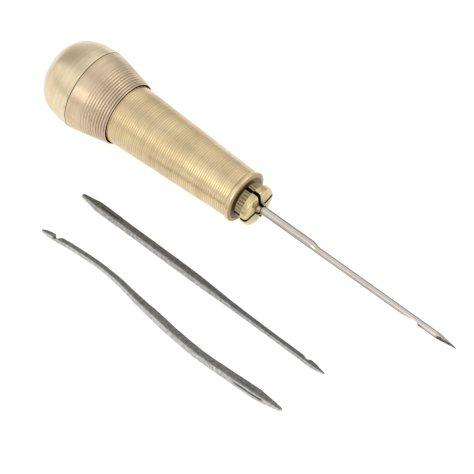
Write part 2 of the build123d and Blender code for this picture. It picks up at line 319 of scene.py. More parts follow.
def ramp(tree, value, low, high, start=0.0, end=1.0, smooth=False):
    """Value carried from the range low..high to start..end, clamped."""
    inputs = {"Value": value, "From Min": low, "From Max": high, "To Min": start, "To Max": end}
    kind = "SMOOTHSTEP" if smooth else "LINEAR"
    return node(tree, "ShaderNodeMapRange", inputs, interpolation_type=kind).outputs[0]


def blend_colour(tree, factor, first, second, how="MIX"):
    """Output of a colour Mix node."""
    inputs = {0: factor, 6: rgba(first), 7: rgba(second)}
    return node(tree, "ShaderNodeMix", inputs, data_type="RGBA", blend_type=how).outputs[2]


def rgba(value):
    """Colour with its alpha; a socket passes through."""
    if isinstance(value, bpy.types.NodeSocket):
        return value
    return (*value, 1.0)


def noise(tree, vector, scale, detail=3.0, roughness=0.5, distortion=0.0):
    """Factor of a 3D noise texture."""
    inputs = {"Vector": vector, "Scale": scale, "Detail": detail, "Roughness": roughness}
    inputs["Distortion"] = distortion
    return node(tree, "ShaderNodeTexNoise", inputs).outputs[0]


# ---- Geometry Nodes: steps that both trees share ---------------------------------------------
def position(tree):
    """Positions of the points."""
    return node(tree, "GeometryNodeInputPosition").outputs[0]


def named_value(tree, name):
    """Output of a float attribute."""
    found = node(tree, "GeometryNodeInputNamedAttribute", {"Name": name}, data_type="FLOAT")
    return found.outputs[0]


def stored(tree, geometry, name, value):
    """Geometry with a float attribute on its points."""
    inputs = {"Geometry": geometry, "Name": name, "Value": value}
    return node(tree, "GeometryNodeStoreNamedAttribute", inputs,
                data_type="FLOAT", domain="POINT").outputs[0]


def sampled(tree, curve, value, row, kind="FLOAT"):
    """Value of the curve's point that belongs to the row."""
    inputs = {"Geometry": curve, "Value": value, "Index": row}
    return node(tree, "GeometryNodeSampleIndex", inputs, data_type=kind, domain="POINT").outputs[0]


def moved(tree, geometry, place):
    """Geometry with its points put at the given places."""
    inputs = {"Geometry": geometry, "Position": place}
    return node(tree, "GeometryNodeSetPosition", inputs).outputs[0]


def unrolled(tree, rows, segments):
    """Flat grid of rows by segments, with the row and the angle of each of its points."""
    inputs = {"Size X": 1.0, "Size Y": 1.0, "Vertices X": rows, "Vertices Y": plus(tree, segments, 1.0)}
    flat = node(tree, "GeometryNodeMeshGrid", inputs).outputs[0]
    cell = split(tree, position(tree))
    row = times(tree, plus(tree, cell[0], 0.5), minus(tree, rows, 1.0))
    row = node(tree, "FunctionNodeFloatToInt", {0: row}, rounding_mode="ROUND").outputs[0]
    return flat, row, times(tree, plus(tree, cell[1], 0.5), TAU)


def finished(tree, mesh, material):
    """Seam closed, faces smooth between sharp edges, made real, with its material."""
    mesh = node(tree, "GeometryNodeMergeByDistance", {"Geometry": mesh, "Distance": MERGE}).outputs[0]
    bend = node(tree, "GeometryNodeInputMeshEdgeAngle").outputs[0]
    soft = node(tree, "FunctionNodeCompare", {0: bend, 1: SHARP_ANGLE},
                data_type="FLOAT", operation="LESS_THAN").outputs[0]
    mesh = node(tree, "GeometryNodeSetShadeSmooth", {"Geometry": mesh}, domain="FACE").outputs[0]
    mesh = node(tree, "GeometryNodeSetShadeSmooth",
                {"Geometry": mesh, "Shade Smooth": soft}, domain="EDGE").outputs[0]
    mesh = node(tree, "GeometryNodeRealizeInstances", {"Geometry": mesh}).outputs[0]
    return node(tree, "GeometryNodeSetMaterial", {"Geometry": mesh, "Material": material}).outputs[0]


# ---- Geometry Nodes: a piece turned from its outline ---------------------------------------
def turning_tree():
    """Tree that turns an outline of (x, 0, radius) points about X, with rings and ridges.

    The outline's "ringed" attribute marks the stretch that carries the rings, and its
    "ridged" attribute says how much of the ridges' depth each of its points takes. The
    mesh gets a darkening attribute that holds dirt and painted shade: the outline's own, and more where a
    ring or ridge is deep.
    """
    sizes = [
        ("Geometry", "NodeSocketGeometry", None),
        ("Segments", "NodeSocketInt", 128),
        ("Ring start", "NodeSocketFloat", 0.0),
        ("Ring end", "NodeSocketFloat", 0.0),
        ("Ring pitch", "NodeSocketFloat", 0.001),
        ("Rear depth", "NodeSocketFloat", 0.0),
        ("Front depth", "NodeSocketFloat", 0.0),
        ("Ring sharpness", "NodeSocketFloat", 1.0),
        ("Ring steps", "NodeSocketInt", 6),
        ("Ridges", "NodeSocketInt", 0),
        ("Ridge depth", "NodeSocketFloat", 0.0),
        ("Ring soil", "NodeSocketFloat", 0.0),
        ("Ridge soil", "NodeSocketFloat", 0.0),
        ("Material", "NodeSocketMaterial", None),
    ]
    tree, given, result = new_group(
        "Turned piece", "GeometryNodeTree", sizes, [("Geometry", "NodeSocketGeometry")]
    )
    curve = node(tree, "GeometryNodeMeshToCurve", {"Mesh": given["Geometry"]}).outputs[0]
    stretch = minus(tree, given["Ring end"], given["Ring start"])
    rings = divided(tree, stretch, given["Ring pitch"])
    cuts = times(tree, times(tree, rings, given["Ring steps"]), named_value(tree, "ringed"))
    cuts = node(tree, "FunctionNodeFloatToInt", {0: cuts}).outputs[0]
    curve = node(tree, "GeometryNodeSubdivideCurve", {"Curve": curve, "Cuts": cuts}).outputs[0]
    place, soil = ringed_outline(tree, given, stretch)
    curve = moved(tree, stored(tree, curve, "soil", soil), place)
    join(tree, result["Geometry"], finished(tree, revolved(tree, given, curve), given["Material"]))
    return tree


def ringed_outline(tree, given, stretch):
    """Positions of the outline's points with the rings cut into them, and their soil."""
    here = split(tree, position(tree))
    from_start = minus(tree, here[0], given["Ring start"])
    turns = times(tree, divided(tree, from_start, given["Ring pitch"]), TAU)
    wave = minus(tree, 0.5, times(tree, maths(tree, "COSINE", turns), 0.5), clamp=True)
    wave = raised(tree, wave, given["Ring sharpness"])
    depth = ramp(tree, from_start, 0.0, stretch, given["Rear depth"], given["Front depth"])
    inside = times(tree, maths(tree, "GREATER_THAN", from_start, 0.0),
                   maths(tree, "LESS_THAN", from_start, stretch))
    cut = times(tree, wave, times(tree, inside, named_value(tree, "outer")))
    place = combined(tree, here[0], 0.0, minus(tree, here[2], times(tree, cut, depth)))
    relative = raised(tree, divided(tree, depth, given["Front depth"]), 0.6)
    soil = times(tree, times(tree, raised(tree, cut, 1.5), relative), given["Ring soil"])
    return place, maths(tree, "MAXIMUM", soil, named_value(tree, "soil"))


def revolved(tree, given, curve):
    """Grid of outline points by segments, rolled about X."""
    size_of = node(tree, "GeometryNodeAttributeDomainSize", {0: curve}, component="CURVE")
    flat, row, turn = unrolled(tree, size_of.outputs["Point Count"], given["Segments"])
    point = split(tree, sampled(tree, curve, position(tree), row, "FLOAT_VECTOR"))
    tooth = maths(tree, "COSINE", times(tree, turn, given["Ridges"]))
    tooth = raised(tree, minus(tree, 0.5, times(tree, tooth, 0.5), clamp=True), 1.6)
    cut = times(tree, tooth, sampled(tree, curve, named_value(tree, "ridged"), row))
    radius = minus(tree, point[2], times(tree, cut, given["Ridge depth"]))
    soil = sampled(tree, curve, named_value(tree, "soil"), row)
    soil = maths(tree, "MAXIMUM", soil, times(tree, cut, given["Ridge soil"]))
    side = times(tree, maths(tree, "SINE", turn), times(tree, radius, -1.0))
    up = times(tree, maths(tree, "COSINE", turn), radius)
    return moved(tree, stored(tree, flat, "soil", soil), combined(tree, point[0], side, up))


# ---- Geometry Nodes: a bar forged along its centre line -------------------------------------
def forging_tree():
    """Tree that lays a rounded square section along a centre line and dents its skin.

    The centre line's points carry the section's half width as "half".
    """
    sizes = [
        ("Geometry", "NodeSocketGeometry", None),
        ("Rows", "NodeSocketInt", 400),
        ("Columns", "NodeSocketInt", 72),
        ("Squareness", "NodeSocketFloat", 5.0),
        ("Roll", "NodeSocketFloat", 0.0),
        ("Dent depth", "NodeSocketFloat", 0.0001),
        ("Dent size", "NodeSocketFloat", 0.003),
        ("Seed", "NodeSocketInt", 0),
        ("Material", "NodeSocketMaterial", None),
    ]
    tree, given, result = new_group(
        "Forged bar", "GeometryNodeTree", sizes, [("Geometry", "NodeSocketGeometry")]
    )
    curve = node(tree, "GeometryNodeMeshToCurve", {"Mesh": given["Geometry"]}).outputs[0]
    curve = node(tree, "GeometryNodeCurveSplineType", {"Curve": curve},
                 spline_type="CATMULL_ROM").outputs[0]
    curve = node(tree, "GeometryNodeResampleCurve", {"Curve": curve, "Count": given["Rows"]}).outputs[0]
    flat, row, turn = unrolled(tree, given["Rows"], given["Columns"])
    centre = sampled(tree, curve, position(tree), row, "FLOAT_VECTOR")
    tangent = node(tree, "GeometryNodeInputTangent").outputs[0]
    way = split(tree, sampled(tree, curve, tangent, row, "FLOAT_VECTOR"))
    half = sampled(tree, curve, named_value(tree, "half"), row)
    across, up = rounded_square(tree, given, turn, centre, half)
    across, up = rolled(tree, across, up, given["Roll"])
    side_x = times(tree, times(tree, way[1], across), -1.0)
    offset = combined(tree, side_x, times(tree, way[0], across), up)
    place = node(tree, "ShaderNodeVectorMath", {0: centre, 1: offset}, operation="ADD").outputs[0]
    join(tree, result["Geometry"], finished(tree, moved(tree, flat, place), given["Material"]))
    return tree


def rounded_square(tree, given, turn, centre, half):
    """Place of each point in the dented section, sideways and up from its middle."""
    across, up = maths(tree, "COSINE", turn), maths(tree, "SINE", turn)
    power = given["Squareness"]
    corner = plus(tree, raised(tree, maths(tree, "ABSOLUTE", across), power),
                  raised(tree, maths(tree, "ABSOLUTE", up), power))
    reach = raised(tree, corner, divided(tree, -1.0, power))
    dents = dent_amount(tree, given, centre, across, up, half)
    kept = maths(tree, "MAXIMUM", minus(tree, half, dents), divided(tree, half, 3.0))
    return [times(tree, times(tree, way, reach), kept) for way in (across, up)]


def rolled(tree, across, up, lean):
    """Place in the section, rolled about the bar's own line with its top away from -Y."""
    straight, slant = maths(tree, "COSINE", lean), maths(tree, "SINE", lean)
    new_across = plus(tree, times(tree, across, straight), times(tree, up, slant))
    new_up = minus(tree, times(tree, up, straight), times(tree, across, slant))
    return new_across, new_up


def dent_amount(tree, given, centre, across, up, half):
    """Depth of the dents at each point of the skin, from large and small hammer marks."""
    skin = combined(tree, 0.0, times(tree, across, half), times(tree, up, half))
    skin = node(tree, "ShaderNodeVectorMath", {0: centre, 1: skin}, operation="ADD").outputs[0]
    near = divided(tree, 1.0, given["Dent size"])
    marks = []
    for finer, weight in ((1.0, 0.62), (3.1, 0.38)):
        inputs = {"Vector": skin, "Scale": times(tree, near, finer), "W": given["Seed"]}
        mark = node(tree, "ShaderNodeTexNoise", inputs, noise_dimensions="4D").outputs[0]
        marks.append(times(tree, ramp(tree, mark, 0.3, 0.7, smooth=True), weight))
    return times(tree, plus(tree, *marks), given["Dent depth"])


# ---- Mesh helpers -------------------------------------------------------------------------
def rounded(corners, radius, steps=3, sharpest=math.radians(14)):
    """Outline through the corners, with each real corner rounded and flanked by a close point."""
    made = []
    for number, corner in enumerate(corners):
        here = Vector(corner)
        if number in (0, len(corners) - 1):
            made.append(here)
            continue
        back = Vector(corners[number - 1]) - here
        ahead = Vector(corners[number + 1]) - here
        turn = math.pi - back.angle(ahead)
        if turn < sharpest:
            made.append(here)
            continue
        cut = min(radius * math.tan(turn / 2), 0.35 * back.length, 0.35 * ahead.length)
        flank = min(0.4 * radius, 0.1 * back.length, 0.1 * ahead.length)
        start, end = here + back.normalized() * cut, here + ahead.normalized() * cut
        made.append(start + back.normalized() * flank)
        for step in range(steps + 1):
            t = step / steps
            made.append(start * (1 - t) ** 2 + here * 2 * t * (1 - t) + end * t ** 2)
        made.append(end + ahead.normalized() * flank)
    return [(point.x, point.y) for point in made]


def bezier(first, second, third, fourth, steps):
    """Points of a cubic curve."""
    points = []
    for step in range(steps + 1):
        t = step / steps
        s = 1 - t
        points.append(tuple(
            a * s ** 3 + 3 * b * s * s * t + 3 * c * s * t * t + d * t ** 3
            for a, b, c, d in zip(first, second, third, fourth)
        ))
    return points


def chain_mesh(name, points, values):
    """Mesh of edges in a row, with named float attributes on its points."""
    mesh = bpy.data.meshes.new(name)
    mesh.from_pydata(points, [(i, i + 1) for i in range(len(points) - 1)], [])
    for label, numbers in values.items():
        layer = mesh.attributes.new(label, "FLOAT", "POINT")
        layer.data.foreach_set("value", numbers)
    return mesh


def grown(name, mesh, tree, inputs):
    """Plain mesh that a Geometry Nodes tree makes from a starting mesh."""
    piece = bpy.data.objects.new(name, mesh)
    bpy.context.scene.collection.objects.link(piece)
    modifier = piece.modifiers.new("Build", "NODES")
    modifier.node_group = tree
    for socket in tree.interface.items_tree:
        if socket.in_out == "INPUT" and socket.name in inputs:
            modifier[socket.identifier] = inputs[socket.name]
    evaluated = piece.evaluated_get(bpy.context.evaluated_depsgraph_get())
    made = bpy.data.meshes.new_from_object(evaluated)
    made.materials.clear()
    made.materials.append(inputs["Material"])
    made.polygons.foreach_set("material_index", [0] * len(made.polygons))
    piece.modifiers.remove(modifier)
    bpy.data.objects.remove(piece)
    bpy.data.meshes.remove(mesh)
    made.name = name
    return made


@contextmanager
def edited(mesh):
    """Editable form of a mesh, written back at the end."""
    work = bmesh.new()
    work.from_mesh(mesh)
    yield work
    work.to_mesh(mesh)
    work.free()


def clean(mesh):
    """Point every face of a closed mesh outwards."""
    with edited(mesh) as work:
        bmesh.ops.recalc_face_normals(work, faces=work.faces)
    return mesh


def mark_edges(mesh, full=math.radians(30)):
    """Write how convex ("edge") and how hollow ("hollow") the mesh is at each vertex."""
    with edited(mesh) as work:
        edge = work.verts.layers.float.new("edge")
        hollow = work.verts.layers.float.new("hollow")
        for vertex in work.verts:
            angles = [e.calc_face_angle_signed(0.0) for e in vertex.link_edges if e.is_manifold]
            vertex[edge] = min(1.0, max(0.0, *angles, 0.0) / full)
            vertex[hollow] = min(1.0, max(0.0, *[-bend for bend in angles], 0.0) / full)
    return mesh


def add_piece(name, mesh, place, body, replaced):
    """Place a mesh made in its own frame, and let it ride on its body."""
    mesh.transform(place)
    mesh.name = name
    piece = bpy.data.objects.new(name, mesh)
    bpy.context.scene.collection.objects.link(piece)
    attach(piece, body)
    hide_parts(replaced)
    return piece


# All in mm; inner is the radius within which no ring or ridge is cut.
Rings = namedtuple("Rings", "start end pitch rear front sharpness steps inner soil")
Ridges = namedtuple("Ridges", "count depth start end inner soil")
NO_RINGS = Rings(start=0, end=0, pitch=1, rear=0, front=1, sharpness=1, steps=6, inner=0, soil=0)
NO_RIDGES = Ridges(count=0, depth=0, start=0, end=0, inner=math.inf, soil=0)


def turned_mesh(name, outline, material, segments, rings=NO_RINGS, ridges=NO_RIDGES, soil_and_shade_stretches=()):
    """Mesh turned about X from an outline of (x, radius) points, in mm.

    The list of darkened stretches holds dirt at the seams and painted shade in the barrel's mouth and on
    the chuck, each (start, end, inner radius, amount).
    """
    def within(stretch, inner):
        start, end = stretch
        return [start - NEAR <= x <= end + NEAR and radius > inner for x, radius in outline]

    soil = [0.0] * len(outline)
    for start, end, inner, amount in soil_and_shade_stretches:
        soil = [max(old, amount * held) for old, held in zip(soil, within((start, end), inner))]
    carries = float(rings is not NO_RINGS)
    values = {
        "ringed": [carries * hit for hit in within((rings.start, rings.start), rings.inner)],
        "outer": [float(radius > rings.inner) for x, radius in outline],
        "ridged": [float(hit) for hit in within((ridges.start, ridges.end), ridges.inner)],
        "soil": soil,
    }
    lengths = {
        "Ring start": rings.start, "Ring end": rings.end, "Ring pitch": rings.pitch,
        "Rear depth": rings.rear, "Front depth": rings.front, "Ridge depth": ridges.depth,
    }
    inputs = {label: value * MM for label, value in lengths.items()}
    inputs.update({
        "Segments": segments, "Material": material, "Ring sharpness": float(rings.sharpness),
        "Ring steps": rings.steps, "Ring soil": float(rings.soil), "Ridges": ridges.count,
        "Ridge soil": float(ridges.soil),
    })
    points = [(x * MM, 0.0, radius * MM) for x, radius in outline]
    mesh = grown(name, chain_mesh(name, points, values), TREES["turning"], inputs)
    return mark_edges(clean(mesh))


TREES = {}


# ---- Finishes -------------------------------------------------------------------------------
def turning_marks_group():
    """Fine lines round the axis, as a lathe tool leaves them, and soft bands along them."""
    inputs = [("Vector", "NodeSocketVector", None), ("Pitch", "NodeSocketFloat", 0.1)]
    outputs = [("Height", "NodeSocketFloat"), ("Streak", "NodeSocketFloat")]
    tree, given, result = new_group("Turning marks", "ShaderNodeTree", inputs, outputs)
    where = split(tree, given["Vector"])
    flat = combined(tree, 0.0, where[1], where[2])
    reach = node(tree, "ShaderNodeVectorMath", {0: flat}, operation="LENGTH").outputs["Value"]
    along = divided(tree, plus(tree, where[0], times(tree, reach, 0.8)), given["Pitch"])
    slow = [times(tree, way, 0.06) for way in (where[1], where[2])]
    join(tree, result["Height"], noise(tree, combined(tree, along, *slow), 1.0, 3.0, 0.6))
    wide = times(tree, along, 0.13)
    join(tree, result["Streak"], noise(tree, combined(tree, wide, *slow), 1.0, 2.0, 0.5))
    return tree


def tarnish_group():
    """Soft patches where the metal has dulled."""
    inputs = [
        ("Vector", "NodeSocketVector", None),
        ("Size", "NodeSocketFloat", 10.0),
        ("Spread", "NodeSocketFloat", 0.5),
    ]
    tree, given, result = new_group("Tarnish", "ShaderNodeTree", inputs, [("Patch", "NodeSocketFloat")])
    scale = divided(tree, 1.0, given["Size"])
    cloud = noise(tree, given["Vector"], scale, 4.0, 0.55, 0.4)
    high = minus(tree, 1.0, times(tree, given["Spread"], 0.6))
    low = minus(tree, high, 0.42)
    join(tree, result["Patch"], ramp(tree, cloud, low, high, smooth=True))
    return tree


def wear_group():
    """Bright rubbed edges, and darkening from dirt in hollows and from the stored dirt and painted shade,
    all broken up.
    """
    inputs = [("Vector", "NodeSocketVector", None), ("Grit", "NodeSocketFloat", 1.0)]
    outputs = [("Worn", "NodeSocketFloat"), ("Dirt and shade", "NodeSocketFloat")]
    tree, given, result = new_group("Edge wear", "ShaderNodeTree", inputs, outputs)
    scale = divided(tree, 1.0, given["Grit"])
    broken = ramp(tree, noise(tree, given["Vector"], scale, 3.0, 0.6), 0.3, 0.62)
    edge, hollow, soil = [
        node(tree, "ShaderNodeAttribute", attribute_name=attribute).outputs["Fac"]
        for attribute in ("edge", "hollow", "soil")
    ]
    join(tree, result["Worn"], times(tree, edge, broken, clamp=True))
    dirt = times(tree, hollow, broken)
    soil = times(tree, soil, ramp(tree, broken, 0.0, 1.0, 0.75, 1.0))
    join(tree, result["Dirt and shade"], maths(tree, "MAXIMUM", dirt, soil, clamp=True))
    return tree


def grain_group():
    """Uneven skin of forged steel: coarse scale and small pits."""
    inputs = [("Vector", "NodeSocketVector", None), ("Size", "NodeSocketFloat", 1.0)]
    outputs = [("Height", "NodeSocketFloat"), ("Pits", "NodeSocketFloat"), ("Scale", "NodeSocketFloat")]
    tree, given, result = new_group("Forged grain", "ShaderNodeTree", inputs, outputs)
    close = divided(tree, 1.0, given["Size"])
    coarse = noise(tree, given["Vector"], close, 5.0, 0.65)
    fine = noise(tree, given["Vector"], times(tree, close, 5.0), 3.0, 0.7)
    pits = ramp(tree, fine, 0.62, 0.72)
    height = plus(tree, times(tree, coarse, 0.7), times(tree, fine, 0.3))
    join(tree, result["Height"], minus(tree, height, times(tree, pits, 0.25)))
    join(tree, result["Pits"], pits)
    join(tree, result["Scale"], ramp(tree, coarse, 0.35, 0.65, smooth=True))
    return tree


SHARED = {}


def effect(tree, name, vector, **inputs):
    """Outputs of a shared effect placed in a material, with its own values."""
    made = node(tree, "ShaderNodeGroup", node_tree=SHARED[name])
    for label, value in {"vector": vector, **inputs}.items():
        join(tree, made.inputs[label.capitalize()], value)
    return made.outputs


def toned(tone, factor):
    """Colour made brighter or darker."""
    return tuple(min(1.0, channel * factor) for channel in tone)


def own_frame(tree, place):
    """Object coordinates turned into a piece's own frame, in mm."""
    back = place.inverted()
    where = node(tree, "ShaderNodeTexCoord").outputs["Object"]
    inputs = {"Vector": where, "Location": back.translation / MM}
    inputs.update({"Rotation": back.to_euler(), "Scale": (1 / MM,) * 3})
    return node(tree, "ShaderNodeMapping", inputs, vector_type="POINT").outputs[0]


def new_material(name):
    """Material with an empty node tree and its Principled shader."""
    material = bpy.data.materials.new(name)
    material.use_nodes = True
    tree = material.node_tree
    tree.nodes.clear()
    shader = node(tree, "ShaderNodeBsdfPrincipled")
    out = node(tree, "ShaderNodeOutputMaterial")
    tree.links.new(shader.outputs[0], out.inputs["Surface"])
    return material, tree, shader


def bump(tree, height, distance, strength=1.0):
    """Normal of a Bump node, with its distance in mm."""
    inputs = {"Strength": strength, "Distance": distance * MM, "Height": height}
    return node(tree, "ShaderNodeBump", inputs).outputs[0]


def brass(name, tone, dull, patch_size, patch_spread, mark_pitch, mark_depth, gloss, grit=0.6, dirt=0.22):
    """Turned brass: fine tool lines, dulled patches, bright edges, and darkening in grooves and recesses
    that holds dirt and painted shade.

    gloss is the roughness of the clean and of the dulled metal.
    """
    material, tree, shader = new_material(name)
    where = own_frame(tree, AWL)
    marks = effect(tree, "marks", where, pitch=mark_pitch)
    patch = effect(tree, "tarnish", where, size=patch_size, spread=patch_spread)["Patch"]
    wear = effect(tree, "wear", where, grit=grit)
    metal = blend_colour(tree, times(tree, patch, 0.75), tone, dull)
    streak = ramp(tree, marks["Streak"], 0.35, 0.65, 0.93, 1.05)
    grey = node(tree, "ShaderNodeCombineColor", {0: streak, 1: streak, 2: streak}).outputs[0]
    metal = blend_colour(tree, 1.0, metal, grey, "MULTIPLY")
    bright = tuple(min(1.0, channel * 1.12 + 0.03) for channel in tone)
    metal = blend_colour(tree, times(tree, wear["Worn"], 0.6), metal, bright)
    # Darkens by the stored dirt and painted shade.
    metal = blend_colour(tree, wear["Dirt and shade"], metal, toned(dull, dirt))
    join(tree, shader.inputs["Base Color"], metal)
    clean_gloss, dull_gloss = gloss
    rough = ramp(tree, patch, 0.0, 1.0, clean_gloss, dull_gloss)
    rough = plus(tree, rough, ramp(tree, marks["Height"], 0.3, 0.7, -0.03, 0.05))
    rough = plus(tree, rough, times(tree, wear["Dirt and shade"], 0.3))
    join(tree, shader.inputs["Roughness"], rough)
    join(tree, shader.inputs["Normal"], bump(tree, marks["Height"], mark_depth))
    shader.inputs["Metallic"].default_value = 1.0
    return material


def bright_steel(name, tone, place):
    """Plated needle steel: fine polishing lines, the stored darkening with its painted shade on the point
    and barb, and a painted dark reflection where it turns away.
    """
    material, tree, shader = new_material(name)
    where = own_frame(tree, place)
    marks = effect(tree, "marks", where, pitch=0.16)
    patch = effect(tree, "tarnish", where, size=7.0, spread=0.35)["Patch"]
    wear = effect(tree, "wear", where, grit=0.5)
    warm = (tone[0] * 0.86, tone[1] * 0.80, tone[2] * 0.70)
    metal = blend_colour(tree, times(tree, patch, 0.7), tone, warm)
    metal = blend_colour(tree, wear["Dirt and shade"], metal, toned(tone, 0.06))
    # Painted dark reflection: the colour darkens towards the rim, where the surface turns away from the
    # viewer.
    painted_rim_facing = node(tree, "ShaderNodeLayerWeight", {"Blend": 0.5}).outputs["Facing"]
    rim = ramp(tree, painted_rim_facing, 0.12, 0.5, 0.0, 0.6)
    metal = blend_colour(tree, rim, metal, toned(tone, 0.22))
    join(tree, shader.inputs["Base Color"], metal)
    join(tree, shader.inputs["Specular Tint"], metal)
    rough = ramp(tree, marks["Height"], 0.3, 0.7, 0.14, 0.26)
    join(tree, shader.inputs["Roughness"], rough)
    join(tree, shader.inputs["Normal"], bump(tree, marks["Height"], 0.004))
    shader.inputs["Metallic"].default_value = 1.0
    return material


def forged_steel(name, tone, place):
    """Dark forged steel: scale, pits, brown heat tints, rubbed corners, and the stored darkening, which
    holds painted shade on the top face.
    """
    material, tree, shader = new_material(name)
    where = own_frame(tree, place)
    grain = effect(tree, "grain", where, size=0.9)
    patch = effect(tree, "tarnish", where, size=5.0, spread=0.6)["Patch"]
    wear = effect(tree, "wear", where, grit=0.35)
    brown = (tone[0] * 0.72, tone[1] * 0.67, tone[2] * 0.62)
    metal = blend_colour(tree, times(tree, patch, 0.8), tone, brown)
    metal = blend_colour(tree, times(tree, grain["Scale"], 0.9), metal, toned(tone, 1.35))
    metal = blend_colour(tree, times(tree, wear["Worn"], 0.4), metal, toned(tone, 1.9))
    dark = maths(tree, "MAXIMUM", wear["Dirt and shade"], times(tree, grain["Pits"], 0.9))
    metal = blend_colour(tree, dark, metal, toned(tone, 0.16))
    join(tree, shader.inputs["Base Color"], metal)
    rough = ramp(tree, grain["Scale"], 0.0, 1.0, 0.36, 0.26)
    join(tree, shader.inputs["Roughness"], plus(tree, rough, times(tree, wear["Dirt and shade"], 0.4)))
    join(tree, shader.inputs["Normal"], bump(tree, grain["Height"], 0.05))
    shader.inputs["Metallic"].default_value = 0.95
    return material


def machined_steel(name, tone):
    """Plain machined steel of the inner pieces, with a film of old oil."""
    material, tree, shader = new_material(name)
    where = own_frame(tree, AWL)
    marks = effect(tree, "marks", where, pitch=0.25)
    patch = effect(tree, "tarnish", where, size=4.0, spread=0.6)["Patch"]
    oil = (tone[0] * 0.62, tone[1] * 0.50, tone[2] * 0.36)
    join(tree, shader.inputs["Base Color"], blend_colour(tree, patch, tone, oil))
    join(tree, shader.inputs["Roughness"], ramp(tree, marks["Height"], 0.3, 0.7, 0.28, 0.45))
    join(tree, shader.inputs["Normal"], bump(tree, marks["Height"], 0.01))
    shader.inputs["Metallic"].default_value = 1.0
    return material


def dress(name, material):
    """Give a carried-over CAD node its material."""
    mesh = frame["nodes"][name].data
    mesh.materials.clear()
    mesh.materials.append(material)


# ---- Head -------------------------------------------------------------------------------------
class AWL_OT_head(bpy.types.Operator):
    """Build the domed cap and the ribbed skirt"""

    bl_idname = "awl.head"
    bl_label = "Head"

    def execute(self, context):
        settings = context.scene.awl_head
        self.make_dome(settings)
        self.make_skirt(settings)
        return {"FINISHED"}

    def make_dome(self, settings):
        """Smooth hollow dome behind the joint line."""
        reach = settings.fullness
        curve = bezier(
            (0, HEAD_R), (reach * DOME_REAR, HEAD_R), (DOME_REAR, reach * HEAD_R), (DOME_REAR, 0), 48
        )
        joint = [(0, SHELL_R), (0, HEAD_R - 0.3), (-0.06, HEAD_R - 0.22), (-0.12, HEAD_R - 0.05),
                 (-0.16, HEAD_R - 0.01)]
        curve = [point for point in curve if point[0] < -0.25]
        pocket = [(-12.6, 0), (-12.6, 5.0), (-9.0, 8.4), (-5.7, 8.4), (-5.7, SHELL_R)]
        outline = pocket + joint + curve
        material = brass("Dome brass", settings.dome_colour[:], (0.60, 0.47, 0.28),
                         9.0, 0.45, 0.12, 0.0022, (0.24, 0.34))
        mesh = turned_mesh("dome_turned", outline, material, 160, soil_and_shade_stretches=[(-0.13, 0.0, 10.5, 0.9)])
        add_piece("dome_turned", mesh, AWL, "head", "dome_cap")

    def make_skirt(self, settings):
        """Skirt whose ribs deepen towards its front edge."""
        lip_r, mouth_x = 10.75, 3.0
        ribs_end = SKIRT_L - 0.12
        ribs_start = ribs_end - settings.rib_count * settings.rib_pitch

        def outer(x):
            along = x / SKIRT_L
            return HEAD_R + (settings.skirt_edge - HEAD_R) * along + 0.4 * along * (1 - along)

        joint = [(0.0, SHELL_R), (0.0, HEAD_R - 0.3), (0.06, HEAD_R - 0.22), (0.12, outer(0.12) - 0.04),
                 (0.17, outer(0.17) - 0.01)]
        smooth = [(x, outer(x)) for x in (0.5, 1.5, 3.0, 4.2, ribs_start)]
        mouth = rounded([
            (ribs_end, outer(ribs_end)), (SKIRT_L, settings.skirt_edge - 0.08), (SKIRT_L, lip_r),
            (mouth_x, lip_r), (mouth_x, 6.65), (-1.0, 6.65), (-1.0, 8.1), (-3.5, 8.1), (-3.5, 9.15),
            (-5.6, 9.15), (-5.6, SHELL_R), (0.0, SHELL_R),
        ], 0.06)
        rings = Rings(ribs_start, ribs_end, settings.rib_pitch, rear=0.2 * settings.rib_depth,
                      front=settings.rib_depth, sharpness=2.0, steps=12, inner=10.9, soil=0.85)
        material = brass("Skirt brass", settings.skirt_colour[:], (0.55, 0.42, 0.29),
                         8.0, 0.5, 0.14, 0.003, (0.24, 0.34))
        mesh = turned_mesh("skirt_ribbed", joint + smooth + mouth, material, 160, rings,
                           soil_and_shade_stretches=[(0.0, 0.13, 10.5, 0.9)])
        add_piece("skirt_ribbed", mesh, AWL, "head", "head_skirt")


